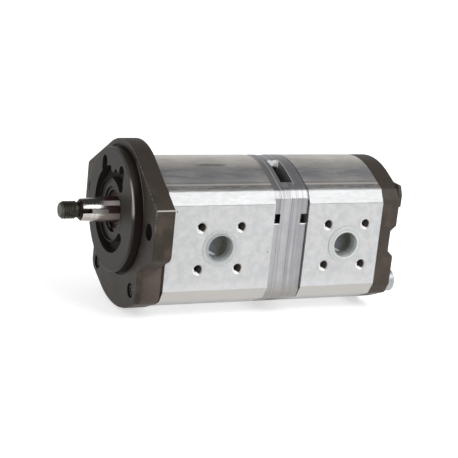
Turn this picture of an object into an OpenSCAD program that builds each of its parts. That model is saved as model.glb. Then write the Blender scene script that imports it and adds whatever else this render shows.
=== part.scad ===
// Tandem external gear pump: two gear stages in line on one drive axis.
// Millimetres. X runs along the drive shaft, its threaded tip towards -X.
// The origin is on the drive axis, in the plane of the mounting face. Z is up.
// The ports that face -Y are the inlets, those that face +Y are the outlets.

/* [Body section] */
// Overall width across the machined port faces
body_w = 88; // [86:0.5:92]
// Height of the section beyond the bolt axes
bolt_cover = 19; // [18:0.2:20]
// Radius of the crowned top and bottom
crown_r = 54; // [52:0.5:58]
// Slope of the shoulders beside the crown, in degrees
shoulder_slope = 25; // [22:1:28]
// Slope of the chamfers above and below a port face, in degrees
chamfer_slope = 60; // [57:1:63]
// Height of the machined port face
port_face_h = 57.4; // [54:0.2:59]
// Radius between shoulder and chamfer
corner_r = 4; // [2:0.5:6]
// Width of the connecting section and of the end cover
mid_w = 84; // [82:0.5:85]
// How far the cast front cover lies inside the extruded section
cover_inset = 1.2; // [0.4:0.2:2]

/* [Lengths along the shaft] */
// Depth of the front cover behind the mounting face
cover_t = 17.3; // [17:0.1:19]
// Length of the front gear housing
front_len = 74.8; // [72:0.2:80]
// Thickness of each half of the connecting section
mid_t = 12.5; // [12:0.1:13.5]
// Length of the rear gear housing
rear_len = 56; // [54:1:64]
// Thickness of the end cover
end_t = 13.4; // [12.8:0.1:14.4]

/* [Mounting flange] */
// Pilot diameter
pilot_d = 82.55; // [82.55]
// Pilot height
pilot_h = 6.35; // [5.8:0.05:6.35]
// Distance between the two mounting holes
flange_pitch = 106.4; // [106.4]
// Diameter of the mounting holes
flange_hole_d = 11; // [10.5:0.1:11.5]
// Thickness of the flange plate
flange_t = 13; // [12:0.5:14]
// Overall width across the flange ears
ear_span = 126.6; // [124:0.2:130]
// Height of an ear
ear_h = 32.6; // [30:0.2:34]
// Radius of the flange round the pilot
flange_r = 46.5; // [46:0.1:48]
// Radius of the upper corners of the ears
ear_r = 3; // [2:0.5:4]
// Radius of the lower corners of the ears
ear_low_r = 6; // [4:0.5:8]
// How far the lower lobe of the cover stands out beyond the extruded section
lobe_over = 0.8; // [0.4:0.1:1.2]
// Rounding of the front edge of the lower lobe
lobe_round = 3; // [2:0.5:4]

/* [Gears] */
// Distance between the drive and the driven axis
axis_gap = 30; // [29.5:0.1:30.5]
// Teeth on each gear
teeth = 12; // [12:1:13]
// Pressure angle in degrees
pressure_angle = 20; // [20:0.5:21]
// Play between meshing flanks, along the pitch circle
backlash = 0.24; // [0.2:0.02:0.4]
// Gap between tooth tips and housing
tip_gap = 0.1; // [0.06:0.01:0.2]
// Gap between each gear side and its bearing block
side_gap = 0.05; // [0.03:0.01:0.1]
// Diameter of the gear journals
journal_d = 18; // [17.5:0.1:18.4]
// Running gap between journal and bushing, on the radius
journal_gap = 0.03; // [0.02:0.01:0.06]
// Wall of a bushing
bush_wall = 1; // [0.8:0.1:1.3]
// Length of a bearing block
block_len = 18; // [16:0.5:20]
// Gap between bearing block and housing bore
block_gap = 0.05; // [0.03:0.01:0.1]

/* [Shaft end] */
// Length of the shaft in front of the mounting face
shaft_out = 40.8; // [40:0.1:43]
// Nominal thread diameter at the tip
thread_d = 12; // [11.5:0.1:12.5]
// Length of the threaded tip
thread_len = 11.3; // [10:0.1:12]
// Diameter at the large end of the taper, which narrows by one in eight
taper_big_d = 17; // [16.6:0.1:17.2]
// Length of the taper
taper_len = 21; // [18:0.5:22]
// Width of the key and its slot
key_w = 3; // [2.8:0.1:3.2]
// Length of the key
key_len = 11; // [10:0.5:12]
// How far the key stands out of the taper
key_proud = 1.1; // [0.8:0.1:1.4]
// How far the shaft is turned so that the key points above the inlet side, in degrees
key_turn = 7; // [0:1:12]

/* [Tie bolts] */
// Distance between the bolts across the pump
bolt_span_y = 62; // [61:0.5:63]
// Distance between the bolts in height
bolt_span_z = 61.6; // [61:0.1:63]
// Bolt diameter
bolt_d = 10; // [9.5:0.1:10.2]
// Gap between a bolt and its hole, on the radius
bolt_gap = 0.25; // [0.15:0.05:0.4]
// Diameter of a bolt head
head_d = 15.6; // [15:0.1:16]
// Height of a bolt head
head_h = 10; // [9.6:0.1:10.2]
// Depth of the lower seats in the end cover
seat_depth = 2.6; // [2:0.1:3]
// How far the upper pads of the end cover stand out
pad_h = 1.9; // [1.6:0.1:2.4]

/* [Ports] */
// Diameter of an inlet bore
inlet_d = 20; // [18:0.5:21]
// Bolt circle of an inlet
inlet_bolt_circle = 40; // [39:0.5:41]
// Diameter of an outlet bore
outlet_d = 15; // [13:0.5:16]
// Bolt circle of an outlet
outlet_bolt_circle = 35; // [34:0.5:36]
// Diameter of the port screw holes
port_screw_d = 6.1; // [5.8:0.1:6.4]
// Depth of the port screw holes
port_screw_depth = 13; // [11:0.5:14]
// Port centre behind the front end of the front housing
front_port_at = 37.6; // [36:0.2:39]
// Port centre behind the front end of the rear housing
rear_port_at = 30.2; // [28:0.2:31]
// Wall of the transit plugs
plug_wall = 1.3; // [1:0.1:1.6]
// Depth of the transit plugs
plug_depth = 9; // [7:0.5:10]
// How far the brim of a plug reaches over the port face
brim = 2.2; // [1.8:0.1:2.6]
// Thickness of the brim
brim_t = 0.9; // [0.7:0.1:1.2]

/* [Hidden] */
$fn = 96;

big = 400;
eps = 0.01;
plug_gap = 0.05;
seal_gap = 0.05;

// Stations along the shaft, from the mounting face backwards
x_front = cover_t;
x_mid = x_front + front_len;
x_split = x_mid + mid_t;
x_rear = x_split + mid_t;
x_end = x_rear + rear_len;
x_back = x_end + end_t;

// Body section: the lines that bound one quarter, as [normal, distance]
centre_z = -axis_gap / 2;
body_h = bolt_span_z + 2 * bolt_cover;
crown_shift = crown_r - body_h / 2;
shoulder_n = [sin(shoulder_slope), cos(shoulder_slope)];
chamfer_n = [sin(chamfer_slope), cos(chamfer_slope)];
shoulder_at = crown_r - crown_shift * shoulder_n[1];
chamfer_at = chamfer_n * [body_w / 2, port_face_h / 2];

// Gear sizes that follow from the centre distance and the tooth count
pitch_r = axis_gap / 2;
tooth_module = axis_gap / teeth;
tip_r = pitch_r + 0.96 * tooth_module;
root_r = pitch_r - 1.25 * tooth_module;
base_r = pitch_r * cos(pressure_angle);
bore_r = tip_r + tip_gap;
block_r = bore_r - block_gap;
journal_r = journal_d / 2 - journal_gap;
bush_in_r = journal_d / 2;
bush_out_r = bush_in_r + bush_wall;
bush_recess = 0.5;
axis_z = [0, -axis_gap];

// Lengths inside the stages
front_gear_x = x_front + block_len + side_gap;
front_gear_w = front_len - 2 * (block_len + side_gap);
rear_gear_x = x_rear + block_len + side_gap;
rear_gear_w = rear_len - 2 * (block_len + side_gap);
journal_end_gap = 0.6;

// Countersink of the port screw holes
sink = 0.45;

// Seals
face_seal_in = 2.7;
face_seal_w = 2.2;
face_seal_depth = 1.6;
axial_seal_in = 2.4;
axial_seal_w = 2;
axial_seal_depth = 1.8;

// Shaft seal, its seat in the hub and its retaining ring
hub_drop = 1.6;
seal_r = 15;
seal_t = 7;
ring_t = 1.2;
ring_bite = 0.9;
ring_w = 3.2;
seal_x = -pilot_h + hub_drop + 2.2;
neck_r = taper_big_d / 2;
tip_x = -shaft_out;
undercut = 1;
taper_x = tip_x + thread_len + undercut;
taper_small_r = taper_big_d / 2 - taper_len / 16;
taper_rim = 1.8;
key_floor = 3.4;
key_start = 7.2;

// Cast groove in the pilot face
groove_in = 21.2;
groove_out = 28.6;
groove_depth = 5.6;
groove_from = -40;
groove_to = 235;
horn_r = 4.3;
horn_y = 15.2;
horn_z = 28.4;
horn_foot_z = 24.5;
saddle_z = 28.6;
saddle_r = 3.6;

// Coupling between the stages
chamber_r = 19.5;
chamber_in = 6.6;
driver_r = 13;
driver_len = 10;
driver_web = 1.6;
tang_w = 6;
tang_gap = 0.08;
tail_r = 8;
driver_x = x_split - driver_len / 2;
tang_len = (driver_len - driver_web) / 2 - 0.2;
mid_seal_r = 13;
mid_seal_t = 4.2;

// Window over the coupling chamber and the pry notches at both joints
window_x0 = x_split - 4.8;
window_x1 = x_split + 3.9;
window_top = 10.5;
window_low = 32.4;
notch_len = 5;
notch_h = 6.5;
notch_z = 3.3;
notch_depth = 6;
step_len = 4.7;
step_drop = 0.4;
joint_groove = 0.6;
joint_drop = 0.7;
cover_groove = 1.5;
cover_groove_drop = 1.6;
lobe_top = 5;

// Bolts and dowels
bolt_z = bolt_span_z / 2;
bolt_y = bolt_span_y / 2;
bolt_tip_x = 2.6;
hole_r = bolt_d / 2 + bolt_gap;
socket_af = 8;
socket_depth = 5;
upper_seat_x = x_back + pad_h - head_h - 0.5;
lower_seat_x = x_back - seat_depth;
head_gap = 0.25;
dowel_y = 33.5;
dowel_r = 4;
dowel_wall = 1.2;
dowel_half = 6;

// End cover
relief_h = 14.1;
relief_depth = 4;
relief_slope = 3.7;
relief_rise = 1;
pad_in = 11;
pad_out = 11.4;
pad_down = 6.2;
pad_up = 8.6;
pad_slant_y = 3;
pad_slant_z = 6;

// Lays a flat outline across the shaft, from x onwards
module across(x, len) {
    translate([x, 0, 0]) rotate([90, 0, 90]) linear_extrude(height = len) children();
}

// Bar of round section parallel to the shaft
module bar(x, len, r, y = 0, z = 0) {
    translate([x, y, z]) rotate([0, 90, 0]) cylinder(h = len, r = r);
}

// A cone parallel to the shaft
module cone(x, len, r1, r2, y = 0, z = 0) {
    translate([x, y, z]) rotate([0, 90, 0]) cylinder(h = len, r1 = r1, r2 = r2);
}

// Where two lines, each given as normal and distance, cross
function meet(n1, d1, n2, d2) = let (det = n1[0] * n2[1] - n1[1] * n2[0])
    [(d1 * n2[1] - d2 * n1[1]) / det, (n1[0] * d2 - n2[0] * d1) / det];

// The four mirror images of a quarter outline, joined into one closed outline
function mirrored(q) = let (r = [for (i = [len(q) - 1:-1:0]) q[i]]) concat(
    q,
    [for (p = r) [p[0], -p[1]]],
    [for (p = q) [-p[0], -p[1]]],
    [for (p = r) [-p[0], p[1]]]);

// Bar of the extruded section from x on, half width w, drawn smaller all round by inset
module section_bar(x, len, w, inset = 0) {
    r = crown_r - inset;
    cr = max(corner_r - inset, 0.8);
    c = meet(shoulder_n, shoulder_at - inset - cr, chamfer_n, chamfer_at - inset - cr);
    crown = [r * shoulder_n[0], r * shoulder_n[1] - crown_shift];
    side_z = (chamfer_at - inset - chamfer_n[0] * (w - inset)) / chamfer_n[1];
    translate([0, 0, centre_z]) union() {
        across(x, len)
            polygon(mirrored([crown, c + cr * shoulder_n, c + cr * chamfer_n, [w - inset, side_z]]));
        for (sy = [-1, 1], sz = [-1, 1]) bar(x, len, cr, sy * c[0], sz * c[1]);
        for (sz = [-1, 1]) intersection() {
            bar(x, len, r, 0, -sz * crown_shift, $fn = 240);
            translate([x, -crown[0], min(0, sz * body_h)]) cube([len, 2 * crown[0], body_h]);
        }
    }
}

// Two-bolt flange: a disc round the pilot with straight flanks to both ears
module flange_outline() {
    a = atan2(ear_h / 2, ear_span / 2);
    d = norm([ear_h / 2, ear_span / 2]);
    n = [cos(a + acos(flange_r / d)), sin(a + acos(flange_r / d))];
    circle(r = flange_r, $fn = 240);
    for (sy = [-1, 1], sz = [-1, 1]) {
        r = sz > 0 ? ear_r : ear_low_r;
        c = meet(n, flange_r - r, [1, 0], ear_span / 2 - r);
        scale([sy, sz]) polygon([[0, 0], flange_r * n, c + r * n, [ear_span / 2, c[1]], [ear_span / 2, 0]]);
        translate([sy * c[0], sz * c[1]]) circle(r = r);
    }
}

// Outline round both axes at radius r
module stadium(r) {
    for (z = axis_z) translate([0, z]) circle(r = r);
    translate([-r, -axis_gap]) square([2 * r, axis_gap]);
}

// Outline of two overlapping circles round both axes
module twin(r) {
    for (z = axis_z) translate([0, z]) circle(r = r);
}

module at_bolts(upper = true, lower = true) {
    for (sy = [-1, 1], sz = [-1, 1])
        if (sz > 0 ? upper : lower) translate([0, sy * bolt_y, centre_z + sz * bolt_z]) children();
}

module bolt_holes(x, len) {
    at_bolts() bar(x, len, hole_r);
}

module dowel_holes(x) {
    for (sy = [-1, 1]) bar(x - dowel_half, 2 * dowel_half, dowel_r, sy * dowel_y, centre_z);
}

// Ring-shaped pocket for a face seal, from x in the direction of len
module face_seal(x, len, gap = 0) {
    r = bore_r + face_seal_in;
    across(x, len) difference() {
        stadium(r + face_seal_w - gap);
        stadium(r + gap);
    }
}

// Involute tooth flank: half the angle that a tooth covers at radius r
function involute(a) = tan(a) * 180 / PI - a;
function half_tooth(r) = 90 / teeth - backlash / pitch_r * 45 / PI + involute(pressure_angle)
    - involute(acos(base_r / r));
function polar(r, a) = [r * cos(a), r * sin(a)];
flank_steps = 7;
flank_r = [for (i = [0:flank_steps]) base_r + (tip_r - base_r) * pow(i / flank_steps, 1.5)];
foot_r = root_r + 0.3 * tooth_module;
function tooth(mid) = concat(
    [polar(root_r, mid - half_tooth(base_r) * 1.28), polar(foot_r, mid - half_tooth(base_r) * 1.04)],
    [for (r = flank_r) polar(r, mid - half_tooth(r))],
    [polar(tip_r, mid)],
    [for (i = [flank_steps:-1:0]) polar(flank_r[i], mid + half_tooth(flank_r[i]))],
    [polar(foot_r, mid + half_tooth(base_r) * 1.04), polar(root_r, mid + half_tooth(base_r) * 1.28)],
    [polar(root_r, mid + 180 / teeth)]);

// Gear blank with teeth; a tooth, or a gap, points at the other axis
module gear(x, w, z, first) {
    translate([0, 0, z]) across(x, w)
        polygon([for (i = [0:teeth - 1]) each tooth(first + i * 360 / teeth)]);
}

// Bearing block: two bored eyes in one piece, a seal pocket on the side away from the gears
module bearing_block(x, seal_side) {
    pocket_x = seal_side < 0 ? x - eps : x + block_len - axial_seal_depth;
    relief_x = seal_side < 0 ? x + block_len - 1.2 : x - eps;
    color([0.72, 0.7, 0.62]) difference() {
        across(x, block_len) twin(block_r);
        for (z = axis_z) bar(x - eps, block_len + 2 * eps, bush_out_r, 0, z);
        across(pocket_x, axial_seal_depth + eps) axial_ring(0);
        for (sy = [-1, 1]) translate([relief_x, sy * 5.6 - 2, centre_z - 4]) cube([1.2 + eps, 4, 8]);
    }
}

module axial_ring(gap) {
    difference() {
        twin(bush_out_r + axial_seal_in + axial_seal_w - gap);
        twin(bush_out_r + axial_seal_in + gap);
    }
}

module axial_seal_pair(x, len) {
    color([0.16, 0.16, 0.17]) {
        across(x, axial_seal_depth) axial_ring(seal_gap);
        across(x + len - axial_seal_depth, axial_seal_depth) axial_ring(seal_gap);
    }
}

module bushing_set(x, len) {
    color([0.62, 0.46, 0.26]) for (z = axis_z, bx = [x + bush_recess, x + len - block_len + bush_recess])
        difference() {
            bar(bx, block_len - 2 * bush_recess, bush_out_r, 0, z);
            bar(bx - eps, block_len - 2 * bush_recess + 2 * eps, bush_in_r, 0, z);
        }
}

// Extruded housing with its two machined port faces
module housing(x, len, port_at) {
    port_x = x + port_at;
    color([0.78, 0.79, 0.8]) difference() {
        section_bar(x, len, body_w / 2);
        across(x - eps, len + 2 * eps) twin(bore_r);
        bolt_holes(x - eps, len + 2 * eps);
        for (jx = [x, x + len]) dowel_holes(jx);
        face_seal(x - eps, face_seal_depth + eps);
        face_seal(x + len - face_seal_depth, face_seal_depth + eps);
        port_cut(port_x, -1, inlet_d, inlet_bolt_circle);
        port_cut(port_x, 1, outlet_d, outlet_bolt_circle);
    }
}

// A port on one side: bore to the gear chamber and four screw holes on a square
module port_cut(x, side, d, circle_d) {
    half = circle_d / 2 * sin(45);
    translate([x, 0, centre_z]) {
        rotate([-90 * side, 0, 0]) cylinder(h = body_w / 2 + eps, d = d);
        for (dx = [-half, half], dz = [-half, half])
            translate([dx, side * (body_w / 2 + eps), dz]) rotate([90 * side, 0, 0]) {
                cylinder(h = port_screw_depth + eps, d = port_screw_d);
                cylinder(h = sink, d1 = port_screw_d + 2 * sink, d2 = port_screw_d);
            }
    }
}

module housing_seal_pair(x, len) {
    color([0.12, 0.12, 0.13]) {
        face_seal(x, face_seal_depth, seal_gap);
        face_seal(x + len - face_seal_depth, face_seal_depth, seal_gap);
    }
}

// Transit plug: a thin cup with a brim that lies on the port face
module plug(x, side, d) {
    r = d / 2 - plug_gap;
    translate([x, side * body_w / 2, centre_z]) rotate([90 * side, 0, 0])
        color([0.86, 0.9, 0.9, 0.7]) difference() {
            union() {
                translate([0, 0, -brim_t]) cylinder(h = brim_t, r = r + brim);
                translate([0, 0, -brim_t]) cylinder(h = plug_depth + brim_t, r = r);
            }
            translate([0, 0, -brim_t - eps]) cylinder(h = plug_depth + brim_t - plug_wall, r = r - plug_wall);
        }
}

// Cast groove round the hub, with two horns at the top
module pilot_groove() {
    span = groove_to - groove_from;
    mid_r = (groove_in + groove_out) / 2;
    difference() {
        union() {
            difference() {
                circle(r = groove_out);
                circle(r = groove_in);
                polygon(concat([[0, 0]], [for (i = [0:6])
                    polar(big / 4, 90 - groove_to - i * (360 - span) / 6)]));
            }
            for (a = [groove_from, groove_to])
                translate(polar(mid_r, 90 - a)) circle(d = groove_out - groove_in);
            for (s = [-1, 1]) translate([s * horn_y, horn_z]) circle(r = horn_r);
            for (s = [-1, 1]) translate([s * horn_y, horn_foot_z]) circle(r = horn_r);
            for (s = [-1, 1]) translate([s * horn_y - horn_r, horn_foot_z])
                square([2 * horn_r, horn_z - horn_foot_z]);
        }
        translate([0, saddle_z]) circle(r = saddle_r);
        circle(r = groove_in - 0.4);
    }
}

// Half space below the ears
module below_ears(x0, x1) {
    translate([x0, -big / 2, centre_z - lobe_top - big]) cube([x1 - x0, big, big]);
}

// Lower lobe of the front cover, its front edge rounded
module lobe() {
    side = body_w / 2 - cover_inset;
    w = side - lobe_over;
    intersection() {
        hull() {
            for (a = [0:30:90])
                section_bar(lobe_round * (1 - sin(a)), eps, w, lobe_round * (1 - cos(a)) - lobe_over);
            section_bar(cover_t - cover_groove - eps, eps, w, -lobe_over);
        }
        below_ears(-1, cover_t);
    }
}

module front_cover() {
    hub_x = -pilot_h + hub_drop;
    color([0.27, 0.25, 0.22]) difference() {
        union() {
            across(0, flange_t) flange_outline();
            lobe();
            difference() {
                section_bar(lobe_round, cover_t - lobe_round, body_w / 2, cover_inset);
                difference() {
                    below_ears(cover_t - cover_groove, cover_t + 1);
                    section_bar(0, big / 2, body_w / 2, cover_inset + cover_groove_drop);
                }
            }
            bar(-pilot_h + 1, pilot_h - 1 + eps, pilot_d / 2);
            cone(-pilot_h, 1, pilot_d / 2 - 0.8, pilot_d / 2);
        }
        difference() {
            bar(-eps, 0.9, pilot_d / 2 + 1.6);
            bar(-1, 3, pilot_d / 2);
        }
        for (sy = [-1, 1]) bar(-eps, flange_t + 2 * eps, flange_hole_d / 2, sy * flange_pitch / 2);
        across(-pilot_h - eps, groove_depth + eps) pilot_groove();
        bar(-pilot_h - eps, hub_drop + eps, groove_in - 0.4);
        bar(hub_x - eps, seal_x + seal_t - hub_x + eps, seal_r);
        bar(seal_x - ring_t - 0.1, ring_t + 0.1, seal_r + ring_bite);
        bar(0, cover_t + eps, neck_r + 1.2);
        at_bolts(upper = false) bar(-eps, cover_t + 2 * eps, bolt_d / 2);
        at_bolts(lower = false) bar(bolt_tip_x - 0.6, cover_t, bolt_d / 2);
        dowel_holes(cover_t);
    }
}

module shaft_seal() {
    color([0.3, 0.14, 0.1]) difference() {
        bar(seal_x, seal_t, seal_r);
        bar(seal_x - eps, seal_t + 2 * eps, neck_r + seal_gap);
        difference() {
            bar(seal_x - eps, 1.6, seal_r - 1.6);
            bar(seal_x - 1, 4, neck_r + 2);
        }
    }
}

module seal_retaining_ring() {
    color([0.2, 0.2, 0.2]) difference() {
        bar(seal_x - ring_t, ring_t, seal_r + ring_bite - 0.05);
        bar(seal_x - 2 * ring_t, 3 * ring_t, seal_r + ring_bite - ring_w);
        translate([seal_x - 2 * ring_t, -3, -seal_r - 2]) cube([3 * ring_t, 6, 8]);
    }
}

module front_housing() {
    housing(x_front, front_len, front_port_at);
}

module front_housing_seals() {
    housing_seal_pair(x_front, front_len);
}

module front_bearing_block_outer() {
    bearing_block(x_front, -1);
}

module front_bearing_block_inner() {
    bearing_block(x_mid - block_len, 1);
}

module front_bushings() {
    bushing_set(x_front, front_len);
}

module front_axial_seals() {
    axial_seal_pair(x_front, front_len);
}

// Window outline across the shaft on one side, down to the coupling chamber
module window_outline() {
    for (s = [-1, 1])
        polygon([[s * window_top, body_h], [s * (window_low + 3), body_h], [s * window_low, 25.7],
            [s * chamber_r * 0.64, chamber_r * 0.8], [s * 6, chamber_r * 0.9]]);
}

module mid_cuts() {
    bolt_holes(x_mid - eps, 2 * mid_t + 2 * eps);
    for (jx = [x_mid, x_rear]) dowel_holes(jx);
    bar(x_split - chamber_in, 2 * chamber_in, chamber_r);
    across(window_x0, window_x1 - window_x0) window_outline();
    for (sy = [-1, 1], nx = [x_mid - eps, x_rear - notch_len])
        translate([nx, sy * mid_w / 2 - notch_depth, notch_z - notch_h / 2])
            cube([notch_len + eps, 2 * notch_depth, notch_h]);
    bar(x_mid - eps, 2 * mid_t + 2 * eps, tail_r + 1);
    bar(x_split - chamber_in - mid_seal_t, 2 * (chamber_in + mid_seal_t), mid_seal_r);
}

module mid_section_front() {
    color([0.65, 0.65, 0.67]) difference() {
        union() {
            section_bar(x_mid, step_len, mid_w / 2, step_drop);
            section_bar(x_mid + step_len - eps, mid_t - step_len + eps, mid_w / 2);
        }
        mid_cuts();
    }
}

module mid_section_rear() {
    color([0.65, 0.65, 0.67]) difference() {
        union() {
            section_bar(x_split, mid_t - joint_groove, mid_w / 2);
            section_bar(x_rear - joint_groove - eps, joint_groove + eps, mid_w / 2, joint_drop);
        }
        mid_cuts();
    }
}

module mid_shaft_seal(x) {
    color([0.12, 0.12, 0.13]) difference() {
        bar(x, mid_seal_t - 0.1, mid_seal_r);
        bar(x - eps, mid_seal_t + 1, tail_r + seal_gap);
    }
}

module mid_shaft_seal_front() {
    mid_shaft_seal(x_split - chamber_in - mid_seal_t);
}

module mid_shaft_seal_rear() {
    mid_shaft_seal(x_split + chamber_in + 0.1);
}

module rear_housing() {
    housing(x_rear, rear_len, rear_port_at);
}

module rear_housing_seals() {
    housing_seal_pair(x_rear, rear_len);
}

module rear_bearing_block_inner() {
    bearing_block(x_rear, -1);
}

module rear_bearing_block_outer() {
    bearing_block(x_end - block_len, 1);
}

module rear_bushings() {
    bushing_set(x_rear, rear_len);
}

module rear_axial_seals() {
    axial_seal_pair(x_rear, rear_len);
}

module end_cover() {
    half = relief_h / 2;
    color([0.25, 0.22, 0.19]) difference() {
        union() {
            section_bar(x_end, end_t, mid_w / 2 + 1.2);
            for (s = [-1, 1]) across(x_back - 1, pad_h + 1) translate([s * bolt_y, centre_z + bolt_z])
                scale([s, 1]) polygon([[-pad_in, -pad_down], [pad_out, -pad_down],
                    [pad_out, pad_up - pad_slant_z], [pad_out - pad_slant_y, pad_up], [-pad_in, pad_up]]);
        }
        translate([x_back, big / 2, centre_z + relief_rise]) rotate([90, 0, 0])
            linear_extrude(height = big) polygon([[-relief_depth, -half], [-relief_depth, half],
                [0, half + relief_slope], [1, half + relief_slope + 1], [1, -half - relief_slope - 1],
                [0, -half - relief_slope]]);
        bolt_holes(x_end - eps, end_t + pad_h + 1);
        at_bolts(lower = false) bar(upper_seat_x, end_t + pad_h, head_d / 2 + head_gap);
        at_bolts(upper = false) bar(lower_seat_x, end_t, head_d / 2 + head_gap);
        dowel_holes(x_end);
    }
}

// Socket head bolt from the end cover into the front cover
module tie_bolt(seat_x) {
    difference() {
        union() {
            bar(bolt_tip_x + 1, seat_x - bolt_tip_x - 1 + eps, bolt_d / 2);
            cone(bolt_tip_x, 1, bolt_d / 2 - 0.9, bolt_d / 2);
            bar(seat_x, head_h - 0.8, head_d / 2);
            cone(seat_x + head_h - 0.8, 0.8, head_d / 2, head_d / 2 - 0.8);
        }
        translate([seat_x + head_h - socket_depth, 0, 0]) rotate([0, 90, 0])
            cylinder(h = socket_depth + 1, d = socket_af / cos(30), $fn = 6);
    }
}

module tie_bolts_lower() {
    color([0.8, 0.8, 0.78]) at_bolts(upper = false) tie_bolt(lower_seat_x);
}

module tie_bolts_upper() {
    color([0.8, 0.8, 0.78]) at_bolts(lower = false) tie_bolt(upper_seat_x);
}

module dowel_sleeves() {
    color([0.6, 0.6, 0.6]) for (jx = [x_front, x_mid, x_rear, x_end], sy = [-1, 1]) difference() {
        bar(jx - dowel_half + 0.3, 2 * dowel_half - 0.6, dowel_r, sy * dowel_y, centre_z);
        bar(jx - dowel_half, 2 * dowel_half, dowel_r - dowel_wall, sy * dowel_y, centre_z);
    }
}

// Slot for the key, open at the small end of the taper
module key_slot(x, len, h) {
    rotate([-key_turn, 0, 0]) translate([x, -taper_big_d / 2 - 2, -key_w / 2]) cube([len, 2 + h, key_w]);
}

module drive_shaft() {
    gear_end = front_gear_x + front_gear_w;
    color([0.72, 0.72, 0.72]) difference() {
        union() {
            cone(tip_x, 1.4, thread_d / 2 - 1.4, thread_d / 2);
            bar(tip_x + 1.3, thread_len - 1.3, thread_d / 2);
            bar(taper_x - undercut - 0.1, undercut + 0.2, thread_d / 2 - 0.9);
            intersection() {
                rim_r = taper_small_r - taper_rim;
                cone(taper_x, taper_len, taper_small_r, neck_r);
                cone(taper_x, 2 * taper_len, rim_r, rim_r + 2 * taper_len);
            }
            bar(taper_x + taper_len - 0.1, front_gear_x - taper_x - taper_len + 1, neck_r);
            bar(x_front + journal_end_gap, x_mid - x_front - 2 * journal_end_gap, journal_r);
            bar(gear_end - 1, driver_x - gear_end + 0.7, tail_r);
            intersection() {
                bar(gear_end - 1, driver_x + tang_len - gear_end + 1, tail_r);
                translate([gear_end, -tail_r - 1, -tang_w / 2 + tang_gap])
                    cube([big, 2 * tail_r + 2, tang_w - 2 * tang_gap]);
            }
            gear(front_gear_x, front_gear_w, 0, -90);
        }
        key_slot(taper_x - 1, key_start + key_len + 1, key_floor);
        cone(tip_x - eps, 3, 2.2, 0.4);
    }
}

// Key lying in the slot of the taper
module shaft_key() {
    top_y = -taper_big_d / 2 - 2 + key_floor;
    depth = top_y + taper_big_d / 2 + key_proud - 0.5;
    color([0.5, 0.5, 0.5]) rotate([-key_turn, 0, 0])
        translate([taper_x + key_start, top_y - depth, -key_w / 2 + 0.02])
            cube([key_len, depth, key_w - 0.04]);
}

// Disc with two crossed slots that takes the tangs of both shafts
module claw_driver() {
    slot_len = (driver_len - driver_web) / 2;
    color([0.45, 0.45, 0.47]) difference() {
        bar(driver_x, driver_len, driver_r);
        translate([driver_x - eps, -driver_r - 1, -tang_w / 2])
            cube([slot_len + eps, 2 * driver_r + 2, tang_w]);
        translate([driver_x + driver_len - slot_len, -tang_w / 2, -driver_r - 1])
            cube([slot_len + eps, tang_w, 2 * driver_r + 2]);
    }
}

module rear_drive_gear() {
    driver_end = driver_x + driver_len;
    color([0.72, 0.72, 0.72]) union() {
        bar(x_rear + journal_end_gap, rear_len - 2 * journal_end_gap, journal_r);
        bar(driver_end + 0.3, x_rear + block_len - driver_end, tail_r);
        intersection() {
            bar(driver_end - tang_len, tang_len + block_len, tail_r);
            translate([driver_end - tang_len, -tang_w / 2 + tang_gap, -tail_r - 1])
                cube([tang_len + 5, tang_w - 2 * tang_gap, 2 * tail_r + 2]);
        }
        gear(rear_gear_x, rear_gear_w, 0, -90);
    }
}

// Driven gear: a gap between teeth points at the drive gear
module driven_gear(x, len, gear_x, gear_w) {
    color([0.72, 0.72, 0.72]) union() {
        bar(x + journal_end_gap, len - 2 * journal_end_gap, journal_r, 0, -axis_gap);
        gear(gear_x, gear_w, -axis_gap, 90 + 180 / teeth);
    }
}

module front_driven_gear() {
    driven_gear(x_front, front_len, front_gear_x, front_gear_w);
}

module rear_driven_gear() {
    driven_gear(x_rear, rear_len, rear_gear_x, rear_gear_w);
}

module front_inlet_plug() {
    plug(x_front + front_port_at, -1, inlet_d);
}

module rear_inlet_plug() {
    plug(x_rear + rear_port_at, -1, inlet_d);
}

module front_outlet_plug() {
    plug(x_front + front_port_at, 1, outlet_d);
}

module rear_outlet_plug() {
    plug(x_rear + rear_port_at, 1, outlet_d);
}

front_cover();
shaft_seal();
seal_retaining_ring();
front_housing();
front_housing_seals();
front_bearing_block_outer();
front_bearing_block_inner();
front_bushings();
front_axial_seals();
mid_section_front();
mid_section_rear();
mid_shaft_seal_front();
mid_shaft_seal_rear();
rear_housing();
rear_housing_seals();
rear_bearing_block_inner();
rear_bearing_block_outer();
rear_bushings();
rear_axial_seals();
end_cover();
tie_bolts_lower();
tie_bolts_upper();
dowel_sleeves();
drive_shaft();
shaft_key();
claw_driver();
rear_drive_gear();
front_driven_gear();
rear_driven_gear();
front_inlet_plug();
rear_inlet_plug();
front_outlet_plug();
rear_outlet_plug();
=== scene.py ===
"""Looks of a tandem external gear pump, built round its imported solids.

Row frame, metres: X along the drive shaft with the threaded tip at -X, the inlets face -Y, Z is up.
The origin lies on the drive axis in the plane of the mounting face. Sizes below are in mm unless
they say otherwise.
"""

import logging
import math
from contextlib import contextmanager
from dataclasses import dataclass
from enum import Enum
from typing import Any, Callable, Iterator, Sequence

import bmesh
import bpy
from mathutils import Matrix, Vector


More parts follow.
